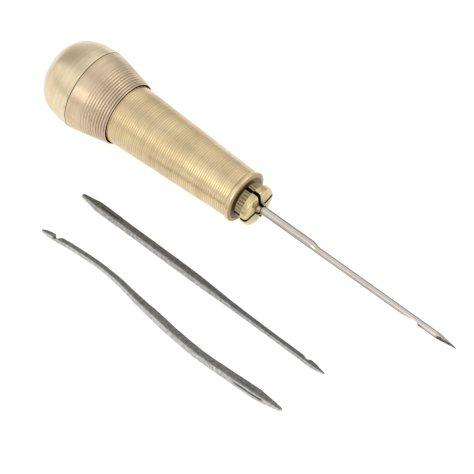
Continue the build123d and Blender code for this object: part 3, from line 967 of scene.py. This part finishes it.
# ---- Barrel -----------------------------------------------------------------------------------
class AWL_OT_barrel(bpy.types.Operator):
    """Build the ringed barrel and the bush in its front"""

    bl_idname = "awl.barrel"
    bl_label = "Barrel"

    def execute(self, context):
        settings = context.scene.awl_barrel
        self.make_barrel(settings)
        self.make_bush(settings)
        return {"FINISHED"}

    def make_barrel(self, settings):
        """Tapered tube with fine turned rings, and a bead at its front."""
        taper_x, ring_start, shoulder_x = 12.0, 12.6, 4.0
        journal_r, groove_r, bore_r, seat_x = 6.6, 5.85, 5.06, 53.0
        front, lip = settings.front_radius, (62.2, 8.6)
        neck_x = BUSH_FACE_X - 2.0

        def outer(x):
            return BARREL_R + (front - BARREL_R) * (x - taper_x) / (neck_x - taper_x)

        number = round((neck_x - 1.15 - ring_start) / settings.ring_pitch)
        ring_end = ring_start + number * settings.ring_pitch
        journal = rounded([
            (taper_x, BARREL_R), (shoulder_x, BARREL_R), (shoulder_x, journal_r), (-1.05, journal_r),
            (-1.05, groove_r), (-2.05, groove_r), (-2.05, journal_r), (BARREL_REAR, journal_r),
            (BARREL_REAR, bore_r), (seat_x, bore_r), (seat_x, BUSH_R), (BUSH_FACE_X, BUSH_R), lip,
        ], 0.07)
        bead = bezier(lip, (62.05, 8.78), (60.95, 8.82), (neck_x, front + 0.02), 12)[1:]
        lines = []
        for middle in (neck_x - 0.22, neck_x - 0.62):
            for offset, depth in ((0.1, 0.0), (0.0, 0.06), (-0.1, 0.0)):
                lines.append((middle + offset, outer(middle + offset) - depth))
        first, last = [(x, outer(x)) for x in (ring_start, ring_end)]
        outline = [first, last, *reversed(bead + lines), *reversed(journal), first]
        depth = settings.ring_depth
        rings = Rings(ring_start, ring_end, settings.ring_pitch, rear=depth, front=depth,
                      sharpness=1.3, steps=8, inner=7.0, soil=0.3)
        material = brass("Barrel brass", settings.barrel_colour[:], (0.60, 0.455, 0.25),
                         12.0, 0.5, 0.09, 0.002, (0.22, 0.32))
        # Painted shade: the stretch from the bead's lip to the bush's face darkens the barrel's mouth; the
        # shoulder's step is darkened as well.
        mesh = turned_mesh("barrel_turned", outline, material, 144, rings,
                           soil_and_shade_stretches=[(lip[0], BUSH_FACE_X, 7.3, 0.62),
                                   (shoulder_x - 0.1, shoulder_x, 6.0, 0.8)])
        add_piece("barrel_turned", mesh, AWL, "handle", "barrel")

    def make_bush(self, settings):
        """Bush whose cone closes the jaws; its near black brass is painted shade, the dark reflection
        inside the barrel's mouth.
        """
        start = (56.0, BUSH_R)
        rear = CONE_MOUTH - (BUSH_FRONT - BUSH_REAR) * math.tan(CONE_ANGLE)
        outline = rounded([
            start, (BUSH_REAR, BUSH_R), (BUSH_REAR, rear), (BUSH_FRONT, CONE_MOUTH),
            (BUSH_FACE_X, BUSH_R), start,
        ], 0.08)
        material = brass("Bush brass painted dark", settings.bush_shade_colour[:], (0.08, 0.058, 0.036),
                         5.0, 0.6, 0.12, 0.004, (0.26, 0.4))
        mesh = turned_mesh("nose_bush_turned", outline, material, 128)
        add_piece("nose_bush_turned", mesh, AWL, "handle", "nose_bush")


# ---- Chuck ------------------------------------------------------------------------------------
class AWL_OT_chuck(bpy.types.Operator):
    """Build the four jaws from one knurled ring"""

    bl_idname = "awl.chuck"
    bl_label = "Chuck"

    def execute(self, context):
        settings = context.scene.awl_chuck
        material = brass("Chuck brass", settings.jaw_colour[:], (0.52, 0.40, 0.18),
                         3.5, 0.5, 0.08, 0.0016, (0.13, 0.22), 0.4)
        # The slot faces are painted shade: near black brass for the shade inside the narrow slots.
        slot_shade_finish = brass("Slot painted shade", (0.10, 0.07, 0.035), (0.05, 0.035, 0.02),
                            3.0, 0.6, 0.3, 0.01, (0.45, 0.6))
        ring = self.make_ring(settings, material)
        for number in range(4):
            mesh = self.cut_jaw(ring, settings, number, slot_shade_finish)
            name = f"jaw_{number + 1}"
            add_piece(f"chuck_{name}", mesh, AWL, name, name)
        bpy.data.meshes.remove(ring)
        return {"FINISHED"}

    def make_ring(self, settings, material):
        """The four jaws in one piece, before the cross cut."""
        neck, neck_start, neck_end = 6.07, BUSH_FRONT + 0.05, 65.6
        cone_x, spring, bore, face_start = 53.5, 4.5, 1.13, 68.15
        skin = 3.0  # painted shade darkens everything outside this radius
        seat = CONE_MOUTH - (BUSH_FRONT - cone_x) * math.tan(CONE_ANGLE) - 0.03
        start = (50.0, bore)
        face = [(neck_end, RIM_R), (67.05, RIM_R), (67.12, RIM_R - 0.07), (67.25, RIM_R - 0.02)]
        face += bezier((67.3, RIM_R - 0.03), (67.75, RIM_R - 0.15), (67.98, 6.2), (68.0, 5.6), 8)
        corners = [
            start, (JAW_REAR, bore), (JAW_REAR, spring), (cone_x - 0.2, spring), (cone_x, seat),
            (BUSH_FRONT, neck), (neck_start, neck), (neck_end, neck), *face,
            (face_start, 2.2), (NOSE_X - 0.1, 1.95), (NOSE_X, 1.75), (NOSE_X, bore), start,
        ]
        outline = rounded(corners, 0.09)
        # The knurl's valleys are darkened, partly as dirt and partly as painted shade.
        ridges = Ridges(settings.ridges, settings.ridge_depth, neck_start + 0.2, neck_end - 0.1,
                        inner=5.0, soil=0.9)
        dense = []
        for first, second in zip(outline, outline[1:]):
            dense.append(first)
            on_neck = min(first[1], second[1]) > 5.9 and BUSH_FRONT < first[0] < neck_end
            if on_neck and second[0] - first[0] > 0.5:
                for part in (0.1, 0.2, 0.8, 0.9):
                    dense.append((first[0] + (second[0] - first[0]) * part, neck))
        dense.append(outline[-1])
        # Painted shade: these stretches darken the jaws inside the bush, the knurled neck in front of it
        # and the nose round the needle.
        soil_and_shade_stretches = [
            (BUSH_REAR, neck_start, skin, 0.9),
            (neck_start, neck_end + 0.05, skin, 0.6),
            (face_start - 0.05, NOSE_X, 0.9, 0.55),
        ]
        return turned_mesh("chuck_ring", dense, material, settings.ridges * 8,
                           ridges=ridges, soil_and_shade_stretches=soil_and_shade_stretches)

    def cut_jaw(self, ring, settings, number, slot_shade_finish):
        """One quarter of the ring, with flat slot faces painted near black as the shade inside the slots.
        """
        turn = settings.slot_turn + number * TAU / 4
        rotation = Matrix.Rotation(turn, 4, "X")
        half = settings.slot_width / 2 * MM
        work = bmesh.new()
        work.from_mesh(ring)
        for way in (Vector((0, 1, 0)), Vector((0, 0, -1))):
            normal = rotation @ way
            bmesh.ops.bisect_plane(
                work, geom=work.verts[:] + work.edges[:] + work.faces[:], dist=MERGE / 4,
                plane_co=-normal * half, plane_no=normal, clear_outer=True,
            )
        rim = [edge for edge in work.edges if edge.is_boundary]
        filled = bmesh.ops.holes_fill(work, edges=rim, sides=0)["faces"]
        for face in filled:
            face.smooth = False
            face.material_index = 1
        bmesh.ops.triangulate(work, faces=filled)
        for edge in rim:
            edge.smooth = False
        bmesh.ops.recalc_face_normals(work, faces=work.faces)
        mesh = bpy.data.meshes.new(f"jaw {number}")
        for finish in (ring.materials[0], slot_shade_finish):
            mesh.materials.append(finish)
        work.to_mesh(mesh)
        work.free()
        return mesh


# ---- Needle -----------------------------------------------------------------------------------
class AWL_OT_needle(bpy.types.Operator):
    """Build the hook needle"""

    bl_idname = "awl.needle"
    bl_label = "Hook needle"

    TANG_R = 1.1
    TANG_END = NOSE_X + 0.05
    STEP = (88.4, 91.0)  # where the shank starts to thin, and where it ends
    THROAT = (122.8, 129.3, 130.0)  # where it starts, is deepest, and meets the barb
    # Painted shade: a shadow along the barb's edge.
    BARB_SHADOW = (129.2, 130.0, 130.6, 132.5)  # where it starts, is full, fades and ends
    BARB_REACH = 45  # degrees either side of the throat
    FACET_X = 135.9
    FACETS = [math.radians(degrees) for degrees in (20, 140, 260)]
    DARK_FACET = (136.2, 137.2)  # where its painted dark reflection starts, and where it is full
    DARK_SIDES = (18, 72)  # degrees from the throat
    TIP_R = 0.07
    COLUMNS = 48

    def execute(self, context):
        settings = context.scene.awl_needle
        material = bright_steel("Needle steel", settings.steel_colour[:], AWL)
        rings = [self.section(settings, x) for x in self.stations()]
        mesh = lofted_mesh("hook_needle", rings)
        mesh.materials.append(material)
        turn = Matrix.Rotation(settings.throat_turn, 4, "X")
        mark_edges(mesh)
        self.darken(mesh)
        piece = add_piece("hook_needle", mesh, AWL @ turn, "needle", "needle")
        smooth_mesh(piece.data)
        return {"FINISHED"}

    def darken(self, mesh):
        """Paint shade: a dark reflection on the ground facet beside the throat, and a shadow along the
        barb's edge.
        """
        soil = mesh.attributes.new("soil", "FLOAT", "POINT").data
        start, full, fade, end = self.BARB_SHADOW
        first, last = self.DARK_SIDES
        for vertex in mesh.vertices:
            x, side, up = vertex.co / MM
            turn = math.degrees(math.atan2(side, up))
            facet = smooth_share(x, *self.DARK_FACET) * (first < turn < last)
            barb = 0.8 * smooth_share(x, start, full) * (1 - smooth_share(x, fade, end))
            soil[vertex.index].value = max(facet, barb * (abs(turn) < self.BARB_REACH))

    def stations(self):
        """Places of the sections along the needle, close together where its shape changes."""
        found = [TAIL_X, TAIL_X + 0.15, TAIL_X + 0.3, 56.0, self.TANG_END - 0.01, self.TANG_END]
        found += spaced(self.TANG_END + 4, self.STEP[0] - 0.2, 5)
        found += spaced(self.STEP[0], self.STEP[1], 14)
        found += spaced(92.0, self.THROAT[0] - 0.5, 12)
        found += spaced(self.THROAT[0], self.THROAT[2] - 0.1, 40)
        found += spaced(self.THROAT[2], self.THROAT[2] + 0.25, 4)
        found += spaced(130.6, self.FACET_X - 0.4, 5)
        found += spaced(self.FACET_X, POINT_X - 0.05, 30)
        found.append(POINT_X)
        return found

    def section(self, settings, x):
        """Section of the needle at x; the throat is at the top of this frame."""
        shaft = settings.shaft_radius
        along = smooth_share(x, *self.STEP)
        radius = SHANK_R + (shaft - SHANK_R) * along
        centre = (SHANK_R - shaft) * along
        if x < self.TANG_END:
            radius = self.TANG_R - max(0.0, 0.3 - (x - TAIL_X)) * 0.6
        floor = self.throat_floor(settings, x)
        points = []
        for column in range(self.COLUMNS):
            turn = TAU * column / self.COLUMNS
            reach = self.faceted(radius, turn, x)
            side, up = reach * math.sin(turn), centre + reach * math.cos(turn)
            points.append(Vector((x, side, min(up, floor))) * MM)
        return points

    def throat_floor(self, settings, x):
        """Height that the throat leaves at x: a smooth hollow, then a short steep barb."""
        start, deepest, barb = self.THROAT
        if x <= start or x >= barb:
            return SHANK_R
        low = SHANK_R - settings.throat_depth
        if x < deepest:
            return SHANK_R - settings.throat_depth * smooth_share(x, start, deepest)
        return low + settings.throat_depth * ((x - deepest) / (barb - deepest)) ** 1.3

    def faceted(self, radius, turn, x):
        """Distance from the centre to the round shaft or to the nearest ground facet."""
        if x <= self.FACET_X:
            return radius
        left = (POINT_X - x) / (POINT_X - self.FACET_X)
        flat = self.TIP_R + (radius - self.TIP_R) * left
        facing = max(math.cos(turn - facet) for facet in self.FACETS)
        corner = self.TIP_R * 1.5 + (radius - self.TIP_R) * min(1.0, left * 1.15)
        return min(radius, flat / max(facing, 0.35), max(flat, corner))


def spaced(start, end, number):
    """Evenly spaced values from start to end."""
    return [start + (end - start) * step / (number - 1) for step in range(number)]


def smooth_share(value, start, end):
    """Share of the way from start to end, eased at both."""
    along = min(1.0, max(0.0, (value - start) / (end - start)))
    return along * along * (3 - 2 * along)


def lofted_mesh(name, rings):
    """Closed mesh through rings of equally many points."""
    work = bmesh.new()
    rows = [[work.verts.new(point) for point in ring] for ring in rings]
    columns = len(rows[0])
    for first, second in zip(rows, rows[1:]):
        for i in range(columns):
            k = (i + 1) % columns
            work.faces.new((first[i], first[k], second[k], second[i]))
    for row in (rows[0], rows[-1]):
        middle = work.verts.new(sum((vertex.co for vertex in row), Vector()) / columns)
        for i in range(columns):
            work.faces.new((row[i], row[(i + 1) % columns], middle))
    bmesh.ops.recalc_face_normals(work, faces=work.faces)
    mesh = bpy.data.meshes.new(name)
    work.to_mesh(mesh)
    work.free()
    return mesh


def smooth_mesh(mesh, sharpest=math.radians(26)):
    """Smooth shading except across edges sharper than the given angle."""
    with edited(mesh) as work:
        for face in work.faces:
            face.smooth = True
        for edge in work.edges:
            edge.smooth = edge.calc_face_angle(0.0) < sharpest


# ---- Spare needles ------------------------------------------------------------------------------
class AWL_OT_spares(bpy.types.Operator):
    """Forge the straight and the curved spare needle"""

    bl_idname = "awl.spares"
    bl_label = "Spare needles"

    # distance along the spare, sideways bend, half width, height of the section's middle
    STRAIGHT_LINE = [
        (0, 0, 0.42, 1.2), (0.5, 0, 0.58, 1.2), (2.5, 0, 0.8, 1.2), (4.6, 0, 1.01, 1.2),
        (7, 0, 1.22, 1.2), (16, 0, 1.22, 1.2), (30, 0, 1.22, 1.2), (44, 0, 1.22, 1.2),
        (50, 0, 1.17, 1.15), (55.5, 0, 1.05, 1.03), (61, 0, 0.91, 0.9), (67, 0, 0.84, 0.82),
        (74, 0, 0.78, 0.78), (85, 0, 0.75, 0.76), (91, 0, 0.74, 0.76), (93.6, 0, 0.8, 0.78),
        (96.2, 0, 0.76, 0.78), (98.6, 0, 0.44, 0.78), (99.8, 0, 0.26, 0.78),
        (STRAIGHT_L, 0, 0.14, 0.78),
    ]
    CURVED_LINE = [
        (0, 0.35, 0.25, 0.72), (0.5, 0.42, 0.42, 0.74), (1.7, 0.6, 0.62, 0.76), (3.2, 0.78, 0.78, 0.78),
        (6, 1.1, 0.82, 0.8), (12, 1.85, 0.82, 0.8), (22, 2.5, 0.82, 0.82), (28, 2.33, 0.87, 0.85),
        (32, 2.05, 0.92, 0.9), (37, 1.38, 0.99, 0.98), (41, 0.8, 1.1, 1.08), (45, 0.33, 1.18, 1.16),
        (48, 0.08, 1.23, 1.2), (53, -0.47, 1.27, 1.23), (58, -0.95, 1.27, 1.23),
        (69, -1.42, 1.27, 1.23), (81, -0.88, 1.28, 1.24), (88, -0.47, 1.28, 1.24),
        (91.3, -0.25, 1.27, 1.24), (94, -0.06, 1.05, 1.24), (96.4, 0.12, 0.82, 1.24),
        (98.6, 0.27, 0.55, 1.24), (CURVED_L, 0.35, 0.4, 1.24),
    ]
    ROLL = math.radians(13)
    # Darkness of the painted shade on the top face.
    TOP_SHADE = 0.75
    TONES = (1.0, 1.28)  # the curved needle is the brighter one
    # where a swelling starts and ends, and how much thicker it is
    STRAIGHT_SWELL = (5.0, 15.9, 0.055)
    CURVED_SWELL = (81.5, 91.5, 0.06)
    # where a groove starts and ends, its offset from the face's middle, its width and the
    # share of the full depth
    STRAIGHT_GROOVE = (7.0, 15.9, 0.25, 0.9, 1.0)
    CURVED_SIDE_GROOVE = (81.7, 93.2, 0.1, 0.95, 1.0)
    CURVED_TOP_GROOVE = (82.0, 89.5, 0.3, 0.5, 0.7)
    # start of a notch, its floor's start and end, its own end, and its floor's height
    STRAIGHT_NOTCH = (91.4, 92.5, 93.7, 94.1, 0.42)
    CURVED_NOTCH = (4.8, 5.0, 5.7, 7.3, -0.25)

    def execute(self, context):
        settings = context.scene.awl_spares
        self.forge("straight_needle_forged", "spare_needle_straight", "spare_straight", settings,
                   STRAIGHT, self.STRAIGHT_LINE, self.press_straight, 0)
        self.forge("curved_needle_forged", "spare_needle_curved", "spare_curved", settings,
                   CURVED, self.CURVED_LINE, self.press_curved, 1)
        return {"FINISHED"}

    def forge(self, name, cad_node, body, settings, place, line, press, turn):
        """One spare: a dented bar with its grooves and its notch pressed in."""
        points = [(x * MM, bend * MM, middle * MM) for x, bend, half, middle in line]
        halves = [half * MM for x, bend, half, middle in line]
        material = forged_steel(f"{name} steel", toned(settings.steel_colour, self.TONES[turn]), place)
        start = chain_mesh(name, points, {"half": halves})
        inputs = {
            "Rows": 420, "Columns": 96, "Squareness": 9.0, "Roll": self.ROLL,
            "Dent depth": settings.dent_depth * MM, "Dent size": 2.6 * MM,
            "Seed": settings.dent_seed + turn, "Material": material,
        }
        mesh = grown(name, start, TREES["forging"], inputs)
        soil = mesh.attributes.new("soil", "FLOAT", "POINT").data
        for vertex in mesh.vertices:
            # Painted shade on the top face joins the darkening of the grooves and the notch.
            scale = self.painted_top_shade(vertex.co / MM, line)
            moved, dirt = press(settings, vertex.co / MM)
            dirt = max(dirt, scale)
            moved.z = max(moved.z, 0.0)
            vertex.co = moved * MM
            soil[vertex.index].value = dirt
        close_ends(mesh)
        mark_edges(clean(mesh), math.radians(50))
        add_piece(name, mesh, place, body, cad_node)

    def painted_top_shade(self, point, line):
        """How dark the top face is painted, as shade on the face that looks up."""
        bend, half, middle = at_line(line, point.x)
        height = (point.z - middle) * math.cos(self.ROLL) + (point.y - bend) * math.sin(self.ROLL)
        return self.TOP_SHADE * smooth_share(height / half, 0.55, 0.85)

    def press_straight(self, settings, point):
        """Swelled grip with its groove behind the spear end, and the hook's notch."""
        line, depth, top = self.STRAIGHT_LINE, settings.groove_depth, math.pi / 2 - self.ROLL
        point = swelled(point, at_line(line, point.x), self.STRAIGHT_SWELL)
        point, dirt = pressed_groove(point, at_line(line, point.x), self.STRAIGHT_GROOVE, depth, top)
        point, cut = notched(point, at_line(line, point.x), self.STRAIGHT_NOTCH)
        return point, max(dirt, cut)

    def press_curved(self, settings, point):
        """Grooves before the blunt end, and the deep notch behind the hook."""
        line, depth, top = self.CURVED_LINE, settings.groove_depth, math.pi / 2 - self.ROLL
        point = swelled(point, at_line(line, point.x), self.CURVED_SWELL)
        dirt = []
        for groove, facing in ((self.CURVED_SIDE_GROOVE, top + math.pi / 2), (self.CURVED_TOP_GROOVE, top)):
            point, held = pressed_groove(point, at_line(line, point.x), groove, depth, facing)
            dirt.append(held)
        point, cut = notched(point, at_line(line, point.x), self.CURVED_NOTCH)
        return point, max(*dirt, cut)


def at_line(line, x):
    """(bend, half width, middle height) of a spare at x, between its listed sections."""
    for first, second in zip(line, line[1:]):
        if x <= second[0]:
            part = max(0.0, (x - first[0]) / (second[0] - first[0]))
            return [a + (b - a) * part for a, b in zip(first[1:], second[1:])]
    return line[-1][1:]


def swelled(point, section, swell):
    """Point of a bar moved out where the bar is a little thicker."""
    bend, _, middle = section
    start, end, amount = swell
    fade_in = smooth_share(point.x, start, start + 2.5)
    grow = 1 + amount * fade_in * (1 - smooth_share(point.x, end - 0.05, end + 0.15))
    return Vector((point.x, bend + (point.y - bend) * grow, middle + (point.z - middle) * grow))


def pressed_groove(point, section, groove, full_depth, facing):
    """Point of a bar moved into a long groove of the face at the angle facing, and how much darker it is
    painted there.

    The angle is counted from +Y up.
    """
    bend, half, middle = section
    start, end, offset, width, share_of_depth = groove
    depth = full_depth * share_of_depth
    out = Vector((0, math.cos(facing), math.sin(facing)))
    sideways = Vector((0, -math.sin(facing), math.cos(facing)))
    place = point - Vector((point.x, bend, middle))
    if place.dot(out) < 0.45 * half:
        return point, 0.0
    length = smooth_share(point.x, start, start + 1.6) * (1 - smooth_share(point.x, end - 0.25, end))
    wall = 1 - smooth_share(abs(place.dot(sideways) - offset), width * 0.25, width / 2)
    return point - out * depth * length * wall, length * wall


def notched(point, section, notch):
    """Point moved down to the notch that is cut across the far top corner, and how much darker it is
    painted there.
    """
    bend, half, middle = section
    start, low_start, low_end, end, floor = notch
    if not start < point.x < end:
        return point, 0.0
    lean, darkest_depth = math.radians(42), 0.9
    way = Vector((0, math.sin(lean), math.cos(lean)))
    height = (point - Vector((point.x, bend, middle))).dot(way)
    top = half * 1.3
    if point.x < low_start:
        limit = top + (floor - top) * (point.x - start) / (low_start - start)
    elif point.x > low_end:
        limit = floor + (top - floor) * (point.x - low_end) / (end - low_end)
    else:
        limit = floor
    sunk = max(0.0, height - limit)
    return point - way * sunk, min(1.0, sunk / darkest_depth)


def close_ends(mesh):
    """Fill the open ends of a bar."""
    with edited(mesh) as work:
        rim = [edge for edge in work.edges if edge.is_boundary]
        filled = bmesh.ops.holes_fill(work, edges=rim, sides=0)["faces"]
        bmesh.ops.triangulate(work, faces=filled)
        for face in work.faces:
            face.smooth = True


# ---- Inner pieces -------------------------------------------------------------------------------
class AWL_OT_inside(bpy.types.Operator):
    """Give the pieces inside the handle their finishes"""

    bl_idname = "awl.inside"
    bl_label = "Inner pieces"

    def execute(self, context):
        steel = machined_steel("Inner steel", (0.5, 0.5, 0.5))
        for name in ("thrust_washer", "retaining_ring", "key_pin", "draw_rod", "rod_pin"):
            dress(name, steel)
        dress("draw_nut", brass("Nut brass", (0.62, 0.48, 0.28), (0.42, 0.30, 0.18),
                                5.0, 0.6, 0.2, 0.006, (0.28, 0.4)))
        dress("collet_stem", brass("Stem brass", context.scene.awl_chuck.jaw_colour[:],
                                   (0.60, 0.43, 0.20), 5.0, 0.5, 0.12, 0.004, (0.2, 0.32)))
        return {"FINISHED"}


# ---- Stage --------------------------------------------------------------------------------------
def camera_way(settings):
    """Direction from the table to the camera."""
    turn, lift = settings.azimuth, settings.elevation
    return Vector((math.sin(turn) * math.cos(lift), -math.cos(turn) * math.cos(lift), math.sin(lift)))


def curve_through(tree, turn, stops):
    """Brightness along a ramp whose stops are (degrees, level); turn is from -0.5 to 0.5."""
    made = node(tree, "ShaderNodeValToRGB", {"Fac": plus(tree, turn, 0.5)})
    elements = made.color_ramp.elements
    while len(elements) < len(stops):
        elements.new(0.5)
    for element, (degrees, level) in zip(elements, stops):
        element.position = degrees / 360 + 0.5
        element.color = (level, level, level, 1)
    return made.outputs["Color"]


class AWL_OT_stage(bpy.types.Operator):
    """Lay the table, set the lights and the camera"""

    bl_idname = "awl.stage"
    bl_label = "Stage"

    # (degrees round the awl from the camera's side, up and over, and the tent's brightness
    # there), for the end over the head and for the rest
    TENT_HEAD = [
        (-180, 0.84), (-70, 0.94), (-56, 0.78), (-46, 0.76), (-32, 0.92), (-14, 1.0), (0, 0.95),
        (12, 0.82), (24, 0.54), (40, 0.50), (62, 0.48), (88, 0.64), (120, 0.8), (180, 0.84),
    ]
    TENT_REST = [
        (-180, 0.9), (-70, 0.94), (-60, 0.74), (-54, 0.55), (-48, 0.8), (-36, 0.92), (-14, 1.0),
        (4, 0.97), (16, 0.84), (26, 0.7), (36, 0.86), (60, 0.96), (80, 0.92), (94, 0.76),
        (108, 0.62), (124, 0.5), (150, 0.7), (180, 0.85),
    ]
    HEAD_SKY = (-0.72, -0.42)  # where one gives way to the other, as the direction's part along X
    TENT_STRENGTH = 1.14

    def execute(self, context):
        settings = context.scene.awl_stage
        self.make_table(settings)
        self.make_world(context.scene, settings)
        self.make_lights()
        self.make_camera(context.scene, settings)
        context.scene.view_settings.view_transform = "Standard"
        return {"FINISHED"}

    def make_table(self, settings):
        """Wide plain table top."""
        mesh = bpy.data.meshes.new("table")
        reach = 3.0
        corners = [(-reach, -reach, 0), (reach, -reach, 0), (reach, reach, 0), (-reach, reach, 0)]
        mesh.from_pydata(corners, [], [(0, 1, 2, 3)])
        material, _, shader = new_material("Table top")
        for label, value in {
            "Base Color": rgba(settings.table_colour), "Emission Color": (1, 1, 1, 1),
            "Emission Strength": 0.82, "Roughness": 0.9, "Specular IOR Level": 0.1,
        }.items():
            shader.inputs[label].default_value = value
        mesh.materials.append(material)
        table = bpy.data.objects.new("table", mesh)
        bpy.context.scene.collection.objects.link(table)

    def make_world(self, scene, settings):
        """Light tent whose strips run along the awl, dimmer overhead than at its walls."""
        world = bpy.data.worlds.new("Tent")
        scene.world = world
        world.use_nodes = True
        tree = world.node_tree
        tree.nodes.clear()
        where = node(tree, "ShaderNodeTexCoord").outputs["Generated"]
        along = AWL.col[0].to_3d()
        towards = camera_way(settings)
        towards = (towards - along * towards.dot(along)).normalized()
        over = towards.cross(along)
        parts = [
            node(tree, "ShaderNodeVectorMath", {0: where, 1: way}, operation="DOT_PRODUCT").outputs["Value"]
            for way in (over, towards, along)
        ]
        turn = divided(tree, maths(tree, "ARCTAN2", parts[0], parts[1]), TAU)
        level = blend_colour(tree, ramp(tree, parts[2], *self.HEAD_SKY, smooth=True),
                             curve_through(tree, turn, self.TENT_HEAD),
                             curve_through(tree, turn, self.TENT_REST))
        strength = times(tree, level, self.TENT_STRENGTH)
        light = node(tree, "ShaderNodeBackground", {"Color": (1, 1, 1, 1), "Strength": strength})
        out = node(tree, "ShaderNodeOutputWorld")
        tree.links.new(light.outputs[0], out.inputs["Surface"])

    def make_lights(self):
        """Soft boxes over the table."""
        for name, place, power, width in (
            ("key", (0.1, -0.9, 0.5), 1.2, 0.5),
            ("fill", (0.7, 0.5, 0.8), 1.2, 0.6),
        ):
            data = bpy.data.lights.new(name, "AREA")
            data.energy = power
            data.size = width
            lamp = bpy.data.objects.new(name, data)
            lamp.location = place
            lamp.rotation_euler = (-Vector(place)).to_track_quat("-Z", "Y").to_euler()
            bpy.context.scene.collection.objects.link(lamp)

    def make_camera(self, scene, settings):
        """Camera on a long lens, aimed at the middle of the set."""
        data = bpy.data.cameras.new("camera")
        data.lens = settings.focal_length
        data.sensor_width = 36
        data.clip_start, data.clip_end = 0.01, 20
        camera = bpy.data.objects.new("camera", data)
        back = camera_way(settings)
        camera.location = Vector(settings.aim) + back * settings.distance
        camera.rotation_mode = "QUATERNION"
        camera.rotation_quaternion = (-back).to_track_quat("-Z", "Y")
        scene.collection.objects.link(camera)
        scene.camera = camera


# ---- Add-on -------------------------------------------------------------------------------------
GROUPS = {
    "awl_head": AwlHeadSettings,
    "awl_barrel": AwlBarrelSettings,
    "awl_chuck": AwlChuckSettings,
    "awl_needle": AwlNeedleSettings,
    "awl_spares": AwlSpareSettings,
    "awl_stage": AwlStageSettings,
}
OPERATORS = {
    AWL_OT_head: "awl_head",
    AWL_OT_barrel: "awl_barrel",
    AWL_OT_chuck: "awl_chuck",
    AWL_OT_needle: "awl_needle",
    AWL_OT_spares: "awl_spares",
    AWL_OT_inside: None,
    AWL_OT_stage: "awl_stage",
}


class AWL_PT_panel(bpy.types.Panel):
    """Sidebar panel with each piece's sizes and its build button"""

    bl_idname = "AWL_PT_panel"
    bl_label = "Sewing awl"
    bl_space_type = "VIEW_3D"
    bl_region_type = "UI"
    bl_category = "Awl"

    def draw(self, context):
        for operator, group in OPERATORS.items():
            box = self.layout.box()
            box.operator(operator.bl_idname)
            if group:
                settings = getattr(context.scene, group)
                for name in GROUPS[group].__annotations__:
                    box.prop(settings, name)


def register():
    """Register the classes and hang the settings on the scene."""
    for group in GROUPS.values():
        bpy.utils.register_class(group)
    for name, group in GROUPS.items():
        setattr(bpy.types.Scene, name, PointerProperty(type=group))
    for operator in OPERATORS:
        bpy.utils.register_class(operator)
    bpy.utils.register_class(AWL_PT_panel)


def unregister():
    """Undo register."""
    bpy.utils.unregister_class(AWL_PT_panel)
    for operator in OPERATORS:
        bpy.utils.unregister_class(operator)
    for name, group in GROUPS.items():
        delattr(bpy.types.Scene, name)
        bpy.utils.unregister_class(group)


def main():
    """Build every piece and the stage."""
    register()
    TREES.update(turning=turning_tree(), forging=forging_tree())
    SHARED.update(marks=turning_marks_group(), tarnish=tarnish_group())
    SHARED.update(wear=wear_group(), grain=grain_group())
    for operator in OPERATORS:
        getattr(bpy.ops.awl, operator.bl_idname.split(".")[1])()


if __name__ == "__main__":
    main()
